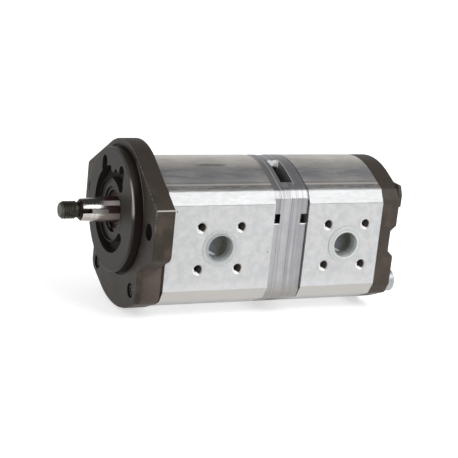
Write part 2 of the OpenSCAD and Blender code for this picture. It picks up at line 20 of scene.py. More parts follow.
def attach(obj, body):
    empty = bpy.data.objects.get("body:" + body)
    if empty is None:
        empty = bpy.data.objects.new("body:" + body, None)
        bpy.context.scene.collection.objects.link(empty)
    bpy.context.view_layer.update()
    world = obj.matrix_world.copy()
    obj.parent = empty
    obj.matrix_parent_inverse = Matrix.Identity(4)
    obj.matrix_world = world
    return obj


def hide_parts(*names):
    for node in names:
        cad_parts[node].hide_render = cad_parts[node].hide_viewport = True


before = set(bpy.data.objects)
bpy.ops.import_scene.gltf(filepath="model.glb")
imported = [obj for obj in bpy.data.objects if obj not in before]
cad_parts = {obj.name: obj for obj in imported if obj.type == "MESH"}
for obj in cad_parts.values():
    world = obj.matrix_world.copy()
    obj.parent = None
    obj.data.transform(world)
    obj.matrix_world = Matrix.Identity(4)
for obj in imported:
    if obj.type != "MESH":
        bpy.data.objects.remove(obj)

LOG = logging.getLogger("gear_pump")
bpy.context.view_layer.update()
MM = 0.001
IMAGE_SIDE = 458
Colour = tuple[float, float, float]
EdgeTest = Callable[[Vector, Vector, float], bool]

# Places that finishes and pieces share
BODY_Z = -15.0
FACE_Y = 44.0
BOLT_Y = 31.0
BOLT_Z = 30.8
LOW_BOLT_Z = BODY_Z - BOLT_Z
EAR_HOLE_Y = 53.2
PILOT_RADIUS = 41.275

# Colours that finishes share: painted shade for the insides of holes, notches and joints, painted
# highlight for edges that catch the light
PAINTED_HOLLOW_SHADE: Colour = (0.012, 0.011, 0.010)
PAINTED_HIGHLIGHT: Colour = (0.9, 0.9, 0.88)
WHITE = (1.0, 1.0, 1.0, 1.0)


class Axis(Enum):
    """The row axis that a turned piece lies along."""

    X = (1.0, 0.0, 0.0)
    Y = (0.0, 1.0, 0.0)


class Side(Enum):
    """Which way a port faces."""

    INLET = -1
    OUTLET = 1


# Shader values


class Value:
    """One output of a shader node, with arithmetic that adds Math nodes."""

    def __init__(self, sheet: "NodeSheet", socket: bpy.types.NodeSocket | None) -> None:
        """Keeps the sheet of nodes and the output.

        Args:
            sheet: the tree that the node belongs to.
            socket: the output that carries the value; none on an output node.
        """
        self.sheet = sheet
        self.socket = socket

    def _math(self, operation: str, *terms: "float | Value") -> "Value":
        """Adds one Math node.

        Args:
            operation: the node's operation.
            terms: its inputs in order.

        Returns:
            The node's result.
        """
        return self.sheet.add("ShaderNodeMath", {"operation": operation}, dict(enumerate(terms)))

    def __add__(self, other: "float | Value") -> "Value":
        """Sum."""
        return self._math("ADD", self, other)

    __radd__ = __add__

    def __sub__(self, other: "float | Value") -> "Value":
        """Difference."""
        return self._math("SUBTRACT", self, other)

    def __rsub__(self, other: "float | Value") -> "Value":
        """Difference from a number."""
        return self._math("SUBTRACT", other, self)

    def __mul__(self, other: "float | Value") -> "Value":
        """Product."""
        return self._math("MULTIPLY", self, other)

    __rmul__ = __mul__

    def __truediv__(self, other: "float | Value") -> "Value":
        """Quotient."""
        return self._math("DIVIDE", self, other)

    def __rtruediv__(self, other: "float | Value") -> "Value":
        """A number divided by the value."""
        return self._math("DIVIDE", other, self)

    def __abs__(self) -> "Value":
        """Size without sign."""
        return self._math("ABSOLUTE", self)

    def root(self) -> "Value":
        """Square root."""
        return self._math("SQRT", self)

    def sine(self) -> "Value":
        """Sine of the value in radians."""
        return self._math("SINE", self)

    def sign(self) -> "Value":
        """-1, 0 or 1."""
        return self._math("SIGN", self)

    def least(self, other: "float | Value") -> "Value":
        """The smaller of two values."""
        return self._math("MINIMUM", self, other)

    def most(self, other: "float | Value") -> "Value":
        """The larger of two values."""
        return self._math("MAXIMUM", self, other)

    def rise(self, low: float, high: float) -> "Value":
        """A smooth step.

        Args:
            low: where the step starts at 0.
            high: where it reaches 1; below low the step falls instead.

        Returns:
            0 to 1.
        """
        start, end = (0.0, 1.0) if high > low else (1.0, 0.0)
        ends = {"From Min": min(low, high), "From Max": max(low, high), "To Min": start, "To Max": end}
        return self.sheet.add(
            "ShaderNodeMapRange",
            {"interpolation_type": "SMOOTHSTEP", "clamp": True},
            {"Value": self, **ends},
        )

    def near(self, place: float, reach: float) -> "Value":
        """1 at a place, 0 from reach away on both sides."""
        return abs(self - place).rise(reach, reach * 0.3)

    def between(self, low: float, high: float, soft: float) -> "Value":
        """1 from low to high, falling to 0 over a soft width outside."""
        return self.rise(low - soft, low) * self.rise(high + soft, high)


def distance(first: Value, second: Value) -> Value:
    """Length of a line with two given legs."""
    return (first * first + second * second).root()


class NodeSheet:
    """The node tree of one material or world, with the place along each axis in mm."""

    def __init__(
        self, owner: bpy.types.Material | bpy.types.World, coordinates: str = "Object"
    ) -> None:
        """Starts an empty tree.

        Args:
            owner: what the tree belongs to.
            coordinates: the coordinates that patterns lie in.
        """
        owner.use_nodes = True
        self.owner = owner
        self.tree = owner.node_tree
        self.tree.nodes.clear()
        self.place = self.add("ShaderNodeTexCoord", output=coordinates)
        split = self.add("ShaderNodeSeparateXYZ", inputs={0: self.place}).socket.node
        self.x, self.y, self.z = (Value(self, split.outputs[i]) / MM for i in range(3))

    def add(
        self,
        kind: str,
        settings: dict[str, Any] | None = None,
        inputs: dict[str | int, Any] | None = None,
        output: str | int = 0,
    ) -> Value:
        """Adds any node.

        Args:
            kind: the node's type.
            settings: properties that are set first.
            inputs: values or links of its sockets.
            output: the output to hand back.

        Returns:
            That output.
        """
        node = self.tree.nodes.new(kind)
        for key, value in (settings or {}).items():
            setattr(node, key, value)
        for key, value in (inputs or {}).items():
            if isinstance(value, Value):
                self.tree.links.new(value.socket, node.inputs[key])
            else:
                node.inputs[key].default_value = value
        return Value(self, node.outputs[output] if len(node.outputs) else None)

    def noise(
        self,
        per_mm: float,
        detail: float = 3.0,
        rough: float = 0.55,
        along: Sequence[float] = (1, 1, 1),
    ) -> Value:
        """Even noise from 0 to 1.

        Args:
            per_mm: waves per millimetre.
            detail: octaves.
            rough: strength of the finer octaves.
            along: scale by axis; a small number draws the pattern out.

        Returns:
            The noise.
        """
        place = self.add(
            "ShaderNodeVectorMath", {"operation": "MULTIPLY"}, {0: self.place, 1: tuple(along)}
        )
        return self.add(
            "ShaderNodeTexNoise",
            inputs={"Vector": place, "Scale": per_mm / MM, "Detail": detail, "Roughness": rough},
            output="Fac",
        )

    def blend(self, share: "float | Value", first: "Colour | Value", second: "Colour | Value") -> Value:
        """Mixes two colours."""
        full = [c if isinstance(c, Value) else (*c, 1.0) for c in (first, second)]
        return self.add(
            "ShaderNodeMix",
            {"data_type": "RGBA", "clamp_factor": True},
            {0: share, 6: full[0], 7: full[1]},
            output=2,
        )

    def coats(self, base: "Colour | Value", *layers: "tuple[float | Value, Colour | Value]") -> Value:
        """Lays colours over a base.

        Args:
            base: the colour underneath.
            layers: share and colour of each coat, the lowest first.

        Returns:
            The colour on top.
        """
        for share, colour in layers:
            base = self.blend(share, base, colour)
        return base

    def bump(self, *layers: tuple[Value, float, float]) -> Value:
        """Turns patterns from 0 to 1 into a shading normal.

        Args:
            layers: pattern, what a height of 1 stands for in mm, and strength, the lowest first.

        Returns:
            The normal.
        """
        normal: Value | None = None
        for height, depth, strength in layers:
            values = {"Height": height, "Distance": depth * MM, "Strength": strength}
            under = {} if normal is None else {"Normal": normal}
            normal = self.add("ShaderNodeBump", inputs={**values, **under})
        return normal

    def finish(self, fixed: dict[str, Any], **varying: Any) -> bpy.types.Material:
        """Closes the material with one Principled shader.

        Args:
            fixed: numbers set on the shader's own sockets.
            varying: links by socket name, with underscores for spaces.

        Returns:
            The material.
        """
        links = {key.replace("_", " ").title(): value for key, value in varying.items()}
        shader = self.add("ShaderNodeBsdfPrincipled", inputs={**fixed, **links})
        self.add("ShaderNodeOutputMaterial", inputs={"Surface": shader})
        return self.owner


def dimmed(colour: Colour, share: float) -> Colour:
    """A darker version of a colour."""
    return tuple(c * share for c in colour)


# Finishes


@dataclass(frozen=True)
class Finish:
    """A named surface that pieces can be dressed in."""

    name: str

    def nodes(self, sheet: NodeSheet) -> bpy.types.Material:
        """Lays out the nodes."""
        raise NotImplementedError

    def material(self) -> bpy.types.Material:
        """The material, made once."""
        made = bpy.data.materials.get(self.name)
        return made or self.nodes(NodeSheet(bpy.data.materials.new(self.name)))


@dataclass(frozen=True)
class CastIron(Finish):
    """Cast skin, brown and blotchy, with painted shade that darkens it towards the top."""

    skin: Colour = (0.063, 0.050, 0.040)
    dark: Colour = (0.034, 0.027, 0.021)
    rust: Colour = (0.100, 0.074, 0.058)
    grain: float = 0.14

    def skin_nodes(self, sheet: NodeSheet) -> tuple[Value, Value]:
        """Mixes the cast skin.

        Args:
            sheet: the material's nodes.

        Returns:
            Its colour and its grain.
        """
        blotch = sheet.noise(0.05, 5, 0.6)
        grain = sheet.noise(0.9, 3, 0.6)
        cloud = sheet.noise(0.11, 4, 0.55, (1, 0.5, 1))
        skin = sheet.coats(
            self.dark,
            (blotch.rise(0.3, 0.72), self.skin),
            (cloud.rise(0.5, 0.72) * 0.55, self.rust),
            (grain.rise(0.6, 0.8) * 0.25, self.rust),
            # painted shade: darker towards the top
            (sheet.z.rise(6, 34) * 0.75, self.dark),
        )
        return skin, grain

    def nodes(self, sheet: NodeSheet) -> bpy.types.Material:
        """Skin all over, with sand grain.

        Args:
            sheet: the material's nodes.

        Returns:
            The finished material.
        """
        skin, grain = self.skin_nodes(sheet)
        return sheet.finish(
            {"IOR": 1.4, "Metallic": 0.2},
            base_color=skin,
            roughness=0.5 + grain * 0.16,
            normal=sheet.bump((grain, self.grain, 0.3)),
        )


@dataclass(frozen=True)
class CoverIron(CastIron):
    """Front cover: machined pilot and flange face, worn edges, painted shade in the groove, round the
    hub, on the pilot's wall and in the holes, and painted highlights along the rims and edges.
    """

    machined: Colour = (0.020, 0.016, 0.012)
    lobe: Colour = (0.118, 0.094, 0.078)
    # The next three colours are painted shade: on the pilot's side wall, in the cast groove and round
    # the hub, and in the bore and the holes.
    pilot_wall_shade: Colour = (0.012, 0.007, 0.006)
    groove: Colour = (0.020, 0.017, 0.014)
    black: Colour = (0.008, 0.006, 0.005)
    # bare worn metal, also used for painted highlights
    worn_and_highlight: Colour = (0.34, 0.32, 0.29)
    pilot_top: float = -6.0
    flange_x: float = 0.5
    bore: float = 15.3
    hub: tuple[float, float] = (16.5, 19.5)
    hub_ring: tuple[float, float] = (20.5, 21.5)
    groove_radii: tuple[float, float] = (20.7, 33.0)
    ear_hole: float = 5.7
    bolt_hole: float = 5.3
    ear_corner: tuple[float, float] = (62.8, 16.3)
    turning_mark: float = 0.35

    def painted_hollow_shade(self, sheet: NodeSheet, radius: Value) -> Value:
        """Finds where shade is painted: the cast groove, the hub's ring and the shaded side of the hub.

        Args:
            sheet: the material's nodes.
            radius: distance from the drive axis.

        Returns:
            Share of painted shade.
        """
        deep = sheet.x.rise(self.pilot_top, self.pilot_top + 0.4) * sheet.x.rise(2, 1)
        groove = radius.between(*self.groove_radii, 0.1) * deep
        ring = radius.between(*self.hub_ring, 0.1) * sheet.z.rise(-12, -4)
        hub = radius.rise(*self.hub) * radius.rise(self.hub_ring[1] - 0.1, self.hub_ring[1] - 0.3)
        hub = hub * sheet.y.rise(2, 9) * sheet.z.rise(-8, 2) * deep
        return (groove + ring + hub).least(1.0)

    def wear_and_highlights(self, sheet: NodeSheet, radius: Value, grain: Value) -> Value:
        """Finds the edges that are rubbed bare and the rims and edges where highlights are painted.

        Args:
            sheet: the material's nodes.
            radius: distance from the drive axis.
            grain: sand grain that breaks the bare lines up.

        Returns:
            Share of bare metal and painted highlight on the pilot's rim, the relief's rim, the flange's
            edge and the ears.
        """
        # painted highlight on the pilot's rim where the key light falls, strongest above the axis on
        # the right-hand side
        rim_highlight = sheet.z.between(9, 24, 6) * sheet.y.rise(0, -20)
        share = sheet.z.rise(0, 10) * 0.14 + sheet.z.rise(-10, -24) * 0.08 + rim_highlight * 0.8
        rim = radius.near(PILOT_RADIUS - 0.45, 0.7) * share
        broad = radius.near(PILOT_RADIUS - 1.0, 1.9) * sheet.z.between(7, 12, 4) * rim_highlight * 0.7
        rim = rim.most(broad) * sheet.x.rise(self.pilot_top + 1.1, self.pilot_top + 0.7)
        # painted highlight line just outside the relief groove
        line = radius.near(PILOT_RADIUS + 2.4, 1.1) * sheet.x.rise(0.2, 0.05)
        line = line * sheet.y.rise(-22, -30) * sheet.z.rise(6, 18)
        # the flange's front edge: real wear broken up by grain, and a painted highlight
        edge = sheet.x.near(0.3, 0.32) * radius.rise(44, 45) * grain.rise(0.4, 0.55)
        edge = edge * sheet.z.rise(-2, 6) * 0.4
        ear_y, ear_z = self.ear_corner
        # painted highlight along the ear's corner
        corner_highlight = distance(abs(sheet.y) - ear_y, sheet.z - ear_z).rise(0.7, 0.35)
        return rim * (0.6 + grain * 0.4) + line * 0.7 + edge + corner_highlight * (0.5 + grain * 0.4)

    def nodes(self, sheet: NodeSheet) -> bpy.types.Material:
        """Turning marks on the machined faces, painted shade in the hollows, on the pilot's wall and in
        the holes, bare metal and painted highlights along the edges.

        Args:
            sheet: the material's nodes.

        Returns:
            The finished material.
        """
        skin, grain = self.skin_nodes(sheet)
        blotch = sheet.noise(0.06, 4, 0.6)
        radius = distance(sheet.y, sheet.z)
        cut = sheet.x.rise(self.flange_x, self.flange_x - 0.4)
        lobe = sheet.z.rise(-24, -30) * sheet.x.rise(2, 5) * (0.35 + blotch.rise(0.35, 0.65) * 0.5)
        marks = (radius * (math.tau / self.turning_mark) + blotch * 3.0).sine() * 0.5 + 0.5
        pilot = radius.rise(PILOT_RADIUS - 0.5, PILOT_RADIUS - 0.9)
        face = sheet.blend(blotch.rise(0.3, 0.75) * 0.5, self.machined, dimmed(self.machined, 0.7))
        # painted shade on the pilot's side wall, weaker towards the top
        wall = radius.between(PILOT_RADIUS - 0.4, PILOT_RADIUS + 1.5, 0.15)
        wall = wall * sheet.x.rise(self.pilot_top + 0.7, self.pilot_top + 1.4) * sheet.x.rise(1.2, 0.9)
        inside = self.painted_hollow_shade(sheet, radius)
        hole = distance(abs(sheet.y) - EAR_HOLE_Y, sheet.z)
        bolt = distance(abs(sheet.y) - BOLT_Y, sheet.z - LOW_BOLT_Z)
        holes = hole.rise(self.ear_hole, self.ear_hole - 0.1)
        holes = holes + bolt.rise(self.bolt_hole, self.bolt_hole - 0.1)
        # painted glint inside the lower bolt holes
        glint = bolt.between(self.bolt_hole - 0.7, self.bolt_hole - 0.1, 0.1)
        glint = glint * sheet.x.between(2, 3.2, 0.3) * grain.rise(0.42, 0.5)
        bare_and_highlight = (self.wear_and_highlights(sheet, radius, grain) + glint).least(1.0)
        colour = sheet.coats(
            skin,
            (lobe, self.lobe),
            (cut * (0.5 + pilot * 0.5), face),
            (wall * (0.9 - sheet.z.rise(18, 34) * 0.5), self.pilot_wall_shade),
            (inside * 0.94, self.groove),
            # painted shade in the bore and in the ear and bolt holes
            (radius.rise(self.bore, self.bore - 0.2) * 0.8, self.black),
            (holes.least(1.0) * sheet.x.rise(0.1, 0.5) * 0.9, self.black),
            (bare_and_highlight, self.worn_and_highlight),
        )
        return sheet.finish(
            {"IOR": 1.27},
            base_color=colour,
            metallic=(0.12 + bare_and_highlight * 0.8) * (1 - inside),
            roughness=0.52 + grain * 0.14 - cut * 0.1 - bare_and_highlight * 0.18 + inside * 0.3,
            normal=sheet.bump((grain * (1 - cut * 0.7), self.grain, 0.3), (marks * cut, 0.004, 0.35)),
        )


@dataclass(frozen=True)
class PortHoles:
    """Places of the screw holes and the bore of both ports of a housing."""

    port_x: float
    inlet_half: float = 14.142
    outlet_half: float = 12.374
    inlet_bore: float = 10.0
    outlet_bore: float = 7.5
    hole: float = 3.05

    def shade(self, sheet: NodeSheet) -> tuple[Value, Value]:
        """Finds where shade and highlights are painted in the holes.

        Args:
            sheet: the material's nodes.

        Returns:
            Share of painted shade, and share of painted highlight at the lower left of each screw hole.
        """
        outlet = sheet.y.rise(-1, 1)
        half = outlet * (self.outlet_half - self.inlet_half) + self.inlet_half
        bore = outlet * (self.outlet_bore - self.inlet_bore) + self.inlet_bore
        across = sheet.x - self.port_x
        up = sheet.z - BODY_Z
        local_x = across - across.sign() * half
        local_z = up - up.sign() * half
        gap = distance(local_x, local_z)
        # painted highlight on the lower left of each screw hole's mouth; painted shade deeper in the
        # screw holes and in the bore
        lit = (local_z * 0.72 + local_x * 0.69).rise(-1.6, -1.9)
        depth = FACE_Y - abs(sheet.y)
        screw = gap.rise(self.hole + 0.75, self.hole + 0.45) * depth.rise(0.01, 0.05)
        lip = gap.between(self.hole - 0.4, self.hole + 0.75, 0.15) * depth.rise(1.1, 0.7)
        inside = (bore + 0.3 - distance(across, up)).rise(0.0, 0.1) * depth.rise(0.02, 0.3)
        near = lit * depth.rise(4.6, 4.0)
        dark = (screw * (1 - near) * (1 - lip) + inside).least(1.0)
        return dark, (screw * near + lip * lit).least(1.0)


@dataclass(frozen=True)
class CutThread(Finish):
    """Threads of the screw holes, with a painted highlight at the mouth's lower left and painted shade
    further in.
    """

    ports: PortHoles
    pale: Colour = (0.42, 0.39, 0.36)
    # deep is painted shade further in, lit the painted highlight at the mouth
    deep: Colour = (0.012, 0.009, 0.008)
    lit: Colour = (0.92, 0.92, 0.90)
    pitch: float = 1.0

    def nodes(self, sheet: NodeSheet) -> bpy.types.Material:
        """Dark metal with painted shade further in and painted highlights at the mouth.

        Args:
            sheet: the material's nodes.

        Returns:
            The finished material.
        """
        dark, bright = self.ports.shade(sheet)
        speck = sheet.noise(0.8, 3, 0.6)
        turn = ((abs(sheet.y) - FACE_Y) * (math.tau / self.pitch)).sine() * 0.5 + 0.5
        # painted shade deeper in the holes, added to the turns and specks
        shade = turn * 0.3 + speck * 0.2 + dark * 0.78
        return sheet.finish(
            {},
            base_color=sheet.coats(self.pale, (shade, self.deep), (bright, self.lit)),
            metallic=0.85 - bright * 0.6,
            roughness=0.32 + speck * 0.15,
            normal=sheet.bump((speck, 0.02, 0.3)),
        )


@dataclass(frozen=True)
class DrawnAluminium(Finish):
    """Extruded skin with lines along X and milled port faces, with painted reflection bands, a painted
    highlight strip and painted shade on the shoulders and ledges.

    Heights (_h) are counted from the body's middle up and down, dots are (x, z, radius) on the port
    faces, and scratches are (from x, to x, y) on the crown.
    """

    ports: PortHoles
    skin: Colour = (0.555, 0.55, 0.545)
    warm: Colour = (0.64, 0.60, 0.555)
    dull: Colour = (0.40, 0.40, 0.41)
    smudge: Colour = (0.38, 0.365, 0.35)
    sheen: Colour = (0.74, 0.71, 0.67)
    # painted reflection bands on the shoulder, a painted highlight strip and a painted shade line at
    # the crease
    belt: Colour = (0.34, 0.35, 0.385)
    strip: Colour = (0.86, 0.82, 0.79)
    edge: tuple[Colour, Colour] = ((0.24, 0.23, 0.225), (0.46, 0.45, 0.44))
    crease: Colour = (0.24, 0.23, 0.23)
    # ledge tones: lighter below the middle, darker above, as painted light and shade
    low_ledge: Colour = (0.435, 0.42, 0.40)
    top_ledge: tuple[Colour, Colour] = ((0.33, 0.335, 0.34), (0.29, 0.29, 0.29))
    scratch: Colour = (0.17, 0.16, 0.155)
    milled: Colour = (0.515, 0.518, 0.523)
    milled_low: Colour = (0.585, 0.585, 0.595)
    fleck: Colour = (0.5, 0.5, 0.5)
    dot: Colour = (0.05, 0.045, 0.04)
    crown_h: float = 49.8
    belt_h: tuple[float, float] = (43.4, 45.6)
    crease_h: float = 40.4
    strip_h: tuple[float, float] = (39.6, 39.9)
    edge_h: tuple[float, float] = (38.0, 39.0)
    ledge_h: tuple[float, float] = (28.8, 37.0)
    dots: tuple[tuple[float, float, float], ...] = ()
    scratches: tuple[tuple[float, float, float], ...] = ()

    def drawn(self, sheet: NodeSheet, lines: Value, patch: Value, grit: Value, smear: Value) -> Value:
        """Mixes the drawn skin.

        Args:
            sheet: the material's nodes.
            lines: fine lines along X.
            patch: broad clouds.
            grit: fine short lines.
            smear: long soft marks.

        Returns:
            Its colour.
        """
        broad = sheet.noise(0.10, 2, 0.5, (0.10, 1, 1))
        stain = sheet.noise(0.05, 4, 0.6, (0.4, 1, 1))
        height = abs(sheet.z - BODY_Z)
        top = height.rise(self.crown_h - 6, self.crown_h - 0.5)
        above = sheet.z.rise(-1, 1)
        # painted reflection: a bluish belt and a dark edge band; painted highlight strip; painted shade
        # along the crease
        belt = height.between(*self.belt_h, 2.2) * (0.25 + smear.rise(0.4, 0.6) * 0.55)
        edge = height.between(*self.edge_h, 0.5) * (0.45 + smear.rise(0.35, 0.6) * 0.55)
        crease = height.near(self.crease_h, 0.4) * smear.rise(0.25, 0.5)
        # painted light on the lower ledges and painted shade on the upper ones
        ledge = sheet.blend(above, self.low_ledge, sheet.blend(grit.rise(0.3, 0.7), *self.top_ledge))
        skin = sheet.coats(
            self.skin,
            (lines.rise(0.2, 0.85) * 0.5, self.dull),
            ((stain.rise(0.42, 0.7) * 0.5 + top * 0.7).least(1.0), self.warm),
            (broad.rise(0.55, 0.3) * 0.3, self.dull),
            (patch.rise(0.5, 0.62) * 0.4, self.smudge),
            (patch.rise(0.48, 0.38) * 0.4, self.sheen),
            (belt, self.belt),
            (height.between(*self.strip_h, 0.35) * 0.8, self.strip),
            (edge * 0.85, sheet.blend(grit.rise(0.4, 0.6), *self.edge)),
            (crease * 0.5, self.crease),
            # painted shade: darker towards the bottom
            (sheet.z.rise(-46, -54) * 0.75, dimmed(self.dull, 0.88)),
            (height.between(*self.ledge_h, 0.4), ledge),
        )
        for low_x, high_x, y in self.scratches:
            line = (sheet.y + grit * 2.4).near(y + 1.2, 2.2) * sheet.x.between(low_x, high_x, 6)
            skin = sheet.blend(line * above * (0.25 + smear.rise(0.3, 0.5) * 0.45), skin, self.scratch)
        return skin

    def port_face(self, sheet: NodeSheet, cloud: Value, fine: Value) -> Value:
        """Mixes the milled face.

        Args:
            sheet: the material's nodes.
            cloud: clouds.
            fine: flecks.

        Returns:
            Its colour.
        """
        face = sheet.coats(
            self.milled,
            (cloud.rise(0.3, 0.7), dimmed(self.milled, 0.86)),
            (sheet.z.rise(-34, -44) * 0.5, self.milled_low),
            (fine.rise(0.62, 0.75) * 0.25, self.fleck),
        )
        for x, z, radius in self.dots:
            spot = distance(sheet.x - x, sheet.z - z).rise(radius, radius * 0.5)
            face = sheet.blend(spot * 0.8, face, self.dot)
        return face

    def nodes(self, sheet: NodeSheet) -> bpy.types.Material:
        """Drawn lines and stains all over, a paler cloudy face where the ports are, painted shade in
        the holes and painted highlights at the screw holes' mouths.

        Args:
            sheet: the material's nodes.

        Returns:
            The finished material.
        """
        lines = sheet.noise(0.8, 3, 0.55, (0.012, 1, 1))
        fine = sheet.noise(0.9, 3, 0.65)
        cloud = sheet.noise(0.2, 5, 0.62)
        patch = sheet.noise(0.06, 4, 0.6, (0.6, 1, 1))
        grit = sheet.noise(0.6, 4, 0.7, (0.3, 1, 1))
        smear = sheet.noise(0.28, 3, 0.6, (0.22, 1, 1))
        flat = abs(sheet.y).rise(FACE_Y - 0.1, FACE_Y - 0.05)
        drawn = 1 - flat
        # painted shade in the holes and painted highlight at each screw hole's lower left
        dark, bright = self.ports.shade(sheet)
        return sheet.finish(
            {"Metallic": 0.9},
            base_color=sheet.coats(
                self.drawn(sheet, lines, patch, grit, smear),
                (flat, self.port_face(sheet, cloud, fine)),
                (dark, PAINTED_HOLLOW_SHADE),
                (bright, PAINTED_HIGHLIGHT),
            ),
            roughness=0.36 + lines * 0.08 + flat * 0.06 + cloud * 0.06,
            normal=sheet.bump(
                (lines * drawn, 0.015, 0.4),
                (patch * drawn, 0.5, 1.0),
                (smear * drawn, 0.14, 0.8),
                (grit * drawn, 0.06, 0.6),
                (fine, 0.02, 0.25),
            ),
        )


@dataclass(frozen=True)
class MilledAluminium(Finish):
    """Plates cut all round, with tool lines across X; seams are (x, reach, share)."""

    pale: Colour = (0.335, 0.335, 0.35)
    dull: Colour = (0.23, 0.23, 0.245)
    bright: Colour = (0.52, 0.52, 0.53)
    seam: Colour = (0.10, 0.10, 0.11)
    # painted shade: darker and warmer towards the bottom, and a darker streaked tone on the upper
    # ledges
    low: Colour = (0.26, 0.245, 0.225)
    ledge: tuple[Colour, Colour] = ((0.36, 0.36, 0.37), (0.22, 0.22, 0.225))
    # painted light over the step's shade
    step: Colour = (0.7, 0.7, 0.7)
    # painted shade in the window's cavity and on its right wall, painted highlight on its far wall
    cavity: Colour = (0.075, 0.075, 0.077)
    right_wall: tuple[Colour, Colour] = ((0.2, 0.2, 0.205), (0.11, 0.11, 0.112))
    far_wall: tuple[Colour, Colour] = ((1.0, 1.0, 1.0), (0.3, 0.3, 0.3))
    seams: tuple[tuple[float, float, float], ...] = (
        (98.9, 0.3, 0.25), (104.55, 0.4, 0.4), (108.9, 0.25, 0.15)
    )
    step_x: float = 96.8
    ledge_y: tuple[float, float] = (38.0, 41.9)
    notch_x: tuple[tuple[float, float], ...] = ((92.0, 97.1), (112.1, 117.2))
    notch_y: tuple[float, float] = (35.0, 41.8)
    notch_z: tuple[float, float] = (0.05, 6.55)
    window_x: tuple[float, float] = (99.7, 108.6)
    window_y: tuple[float, float] = (5.5, 34.5)
    rib_y: float = 9.0
    joint_x: float = 116.5
    crown_r: float = 54.0
    crown_centre: float = -19.2

    def skin(self, sheet: NodeSheet, lines: Value, cloud: Value, groove: Value) -> Value:
        """Mixes the outer skin.

        Args:
            sheet: the material's nodes.
            lines: fine lines round the plate.
            cloud: clouds.
            groove: the turned grooves.

        Returns:
            Its colour.
        """
        bands = sheet.noise(0.22, 2, 0.5, (1, 0.02, 0.02))
        side = abs(sheet.y)
        low_y, high_y = self.ledge_y
        ledge = side.rise(high_y + 0.08, high_y) * side.rise(low_y - 2.5, low_y)
        streaks = (lines * 0.5 + bands * 0.5).rise(0.4, 0.6)
        return sheet.coats(
            self.pale,
            (lines.rise(0.2, 0.8) * 0.8, self.dull),
            (bands.rise(0.4, 0.65) * 0.4, self.bright),
            (cloud.rise(0.35, 0.75) * 0.3, self.dull),
            (groove, self.seam),
            # painted shade towards the bottom and on the upper ledges
            (sheet.z.rise(-36, -50) * 0.8, self.low),
            (ledge * sheet.z.rise(0, 1), sheet.blend(streaks, *self.ledge)),
        )

    def nodes(self, sheet: NodeSheet) -> bpy.types.Material:
        """Bands and fine lines that go round the plate, a few turned grooves, painted shade in the
        pockets, painted highlights at the window and painted light at the step.

        Args:
            sheet: the material's nodes.

        Returns:
            The finished material.
        """
        lines = sheet.noise(1.3, 2, 0.6, (1, 0.01, 0.01))
        cloud = sheet.noise(0.13, 4, 0.6)
        spots = sheet.noise(0.35, 4, 0.7)
        groove: float | Value = 0.0
        for place, reach, share in self.seams:
            groove = sheet.x.near(place, reach) * share + groove
        # painted light that hides the shade at the step
        step = sheet.x.near(self.step_x, 0.3)
        side = abs(sheet.y)
        depth = self.crown_r - distance(sheet.y, sheet.z - self.crown_centre)
        low_x, high_x = self.window_x
        window = sheet.x.between(low_x, high_x, 0.05) * side.between(*self.window_y, 0.3)
        window = window * depth.rise(0.1, 0.4)
        # painted highlight on the window's far wall, painted shade on its right wall that deepens
        # inwards and in the rest of the cavity
        far_wall = window * side.rise(self.rib_y + 0.2, self.rib_y - 0.2) * depth.rise(5.6, 3.6)
        right_wall = window * sheet.x.rise(high_x - 0.25, high_x - 0.15) * (1 - far_wall)
        cavity = window * (1 - far_wall) * (1 - right_wall)
        # painted highlight along the window's right edge and the notches' sills
        lip = sheet.x.near(high_x + 0.25, 0.3) * side.between(7, 33, 1)
        lip = lip * depth.rise(0.5, 0.2) * sheet.z.rise(0, 1)
        notches: float | Value = 0.0
        for low, high in self.notch_x:
            notches = sheet.x.between(low, high, 0.02) + notches
        sill_z, top_z = self.notch_z
        # painted shade in the side notches and in the joint groove
        notch = notches * sheet.z.between(sill_z, top_z, 0.02) * side.between(*self.notch_y, 0.1) * 0.9
        lip = (lip * 0.8 + notches * sheet.z.between(sill_z - 0.7, sill_z, 0.1) * 0.8).least(1.0)
        joint = sheet.x.rise(self.joint_x, self.joint_x + 0.1) * 0.85
        colour = sheet.coats(
            self.skin(sheet, lines, cloud, groove),
            (step * 0.6, self.step),
            (lip, PAINTED_HIGHLIGHT),
            ((notch + joint).least(1.0), PAINTED_HOLLOW_SHADE),
            (cavity, self.cavity),
            (right_wall, sheet.blend(depth.rise(2, 14), *self.right_wall)),
            (far_wall, sheet.blend(spots.rise(0.5, 0.58), *self.far_wall)),
        )
        return sheet.finish(
            {},
            base_color=colour,
            metallic=0.9 - far_wall * 0.8 - right_wall * 0.5 - lip * 0.4 - step * 0.5,
            roughness=0.34 + lines * 0.12 + cloud * 0.1,
            normal=sheet.bump((lines, 0.015, 0.4), (1 - groove, 0.06, 0.5)),
        )


@dataclass(frozen=True)
class TurnedSteel(Finish):
    """Ground or turned steel with marks round an axis."""

    pale: Colour = (0.6, 0.59, 0.57)
    dull: Colour = (0.38, 0.37, 0.36)
    oiled: Colour = (0.2, 0.16, 0.12)
    roughness: float = 0.2
    line: float = 2.2
    oil: float = 0.3

    def base(self, sheet: NodeSheet) -> tuple[Value, Value, Value]:
        """Mixes the turned metal.

        Args:
            sheet: the material's nodes.

        Returns:
            Its colour, its rings and its oil film.
        """
        rings = sheet.noise(self.line, 2, 0.5, (1, 0.03, 0.03))
        film = sheet.noise(0.2, 4, 0.6)
        colour = sheet.coats(
            self.dull, (rings.rise(0.3, 0.75), self.pale), (film.rise(0.5, 0.72) * self.oil, self.oiled)
        )
        return colour, rings, film

    def nodes(self, sheet: NodeSheet) -> bpy.types.Material:
        """Fine rings along X and a trace of oil.

        Args:
            sheet: the material's nodes.

        Returns:
            The finished material.
        """
        colour, rings, film = self.base(sheet)
        return sheet.finish(
            {"Metallic": 1.0},
            base_color=colour,
            roughness=self.roughness + rings * 0.08 + film * 0.1,
            normal=sheet.bump((rings, 0.006, 0.4)),
        )


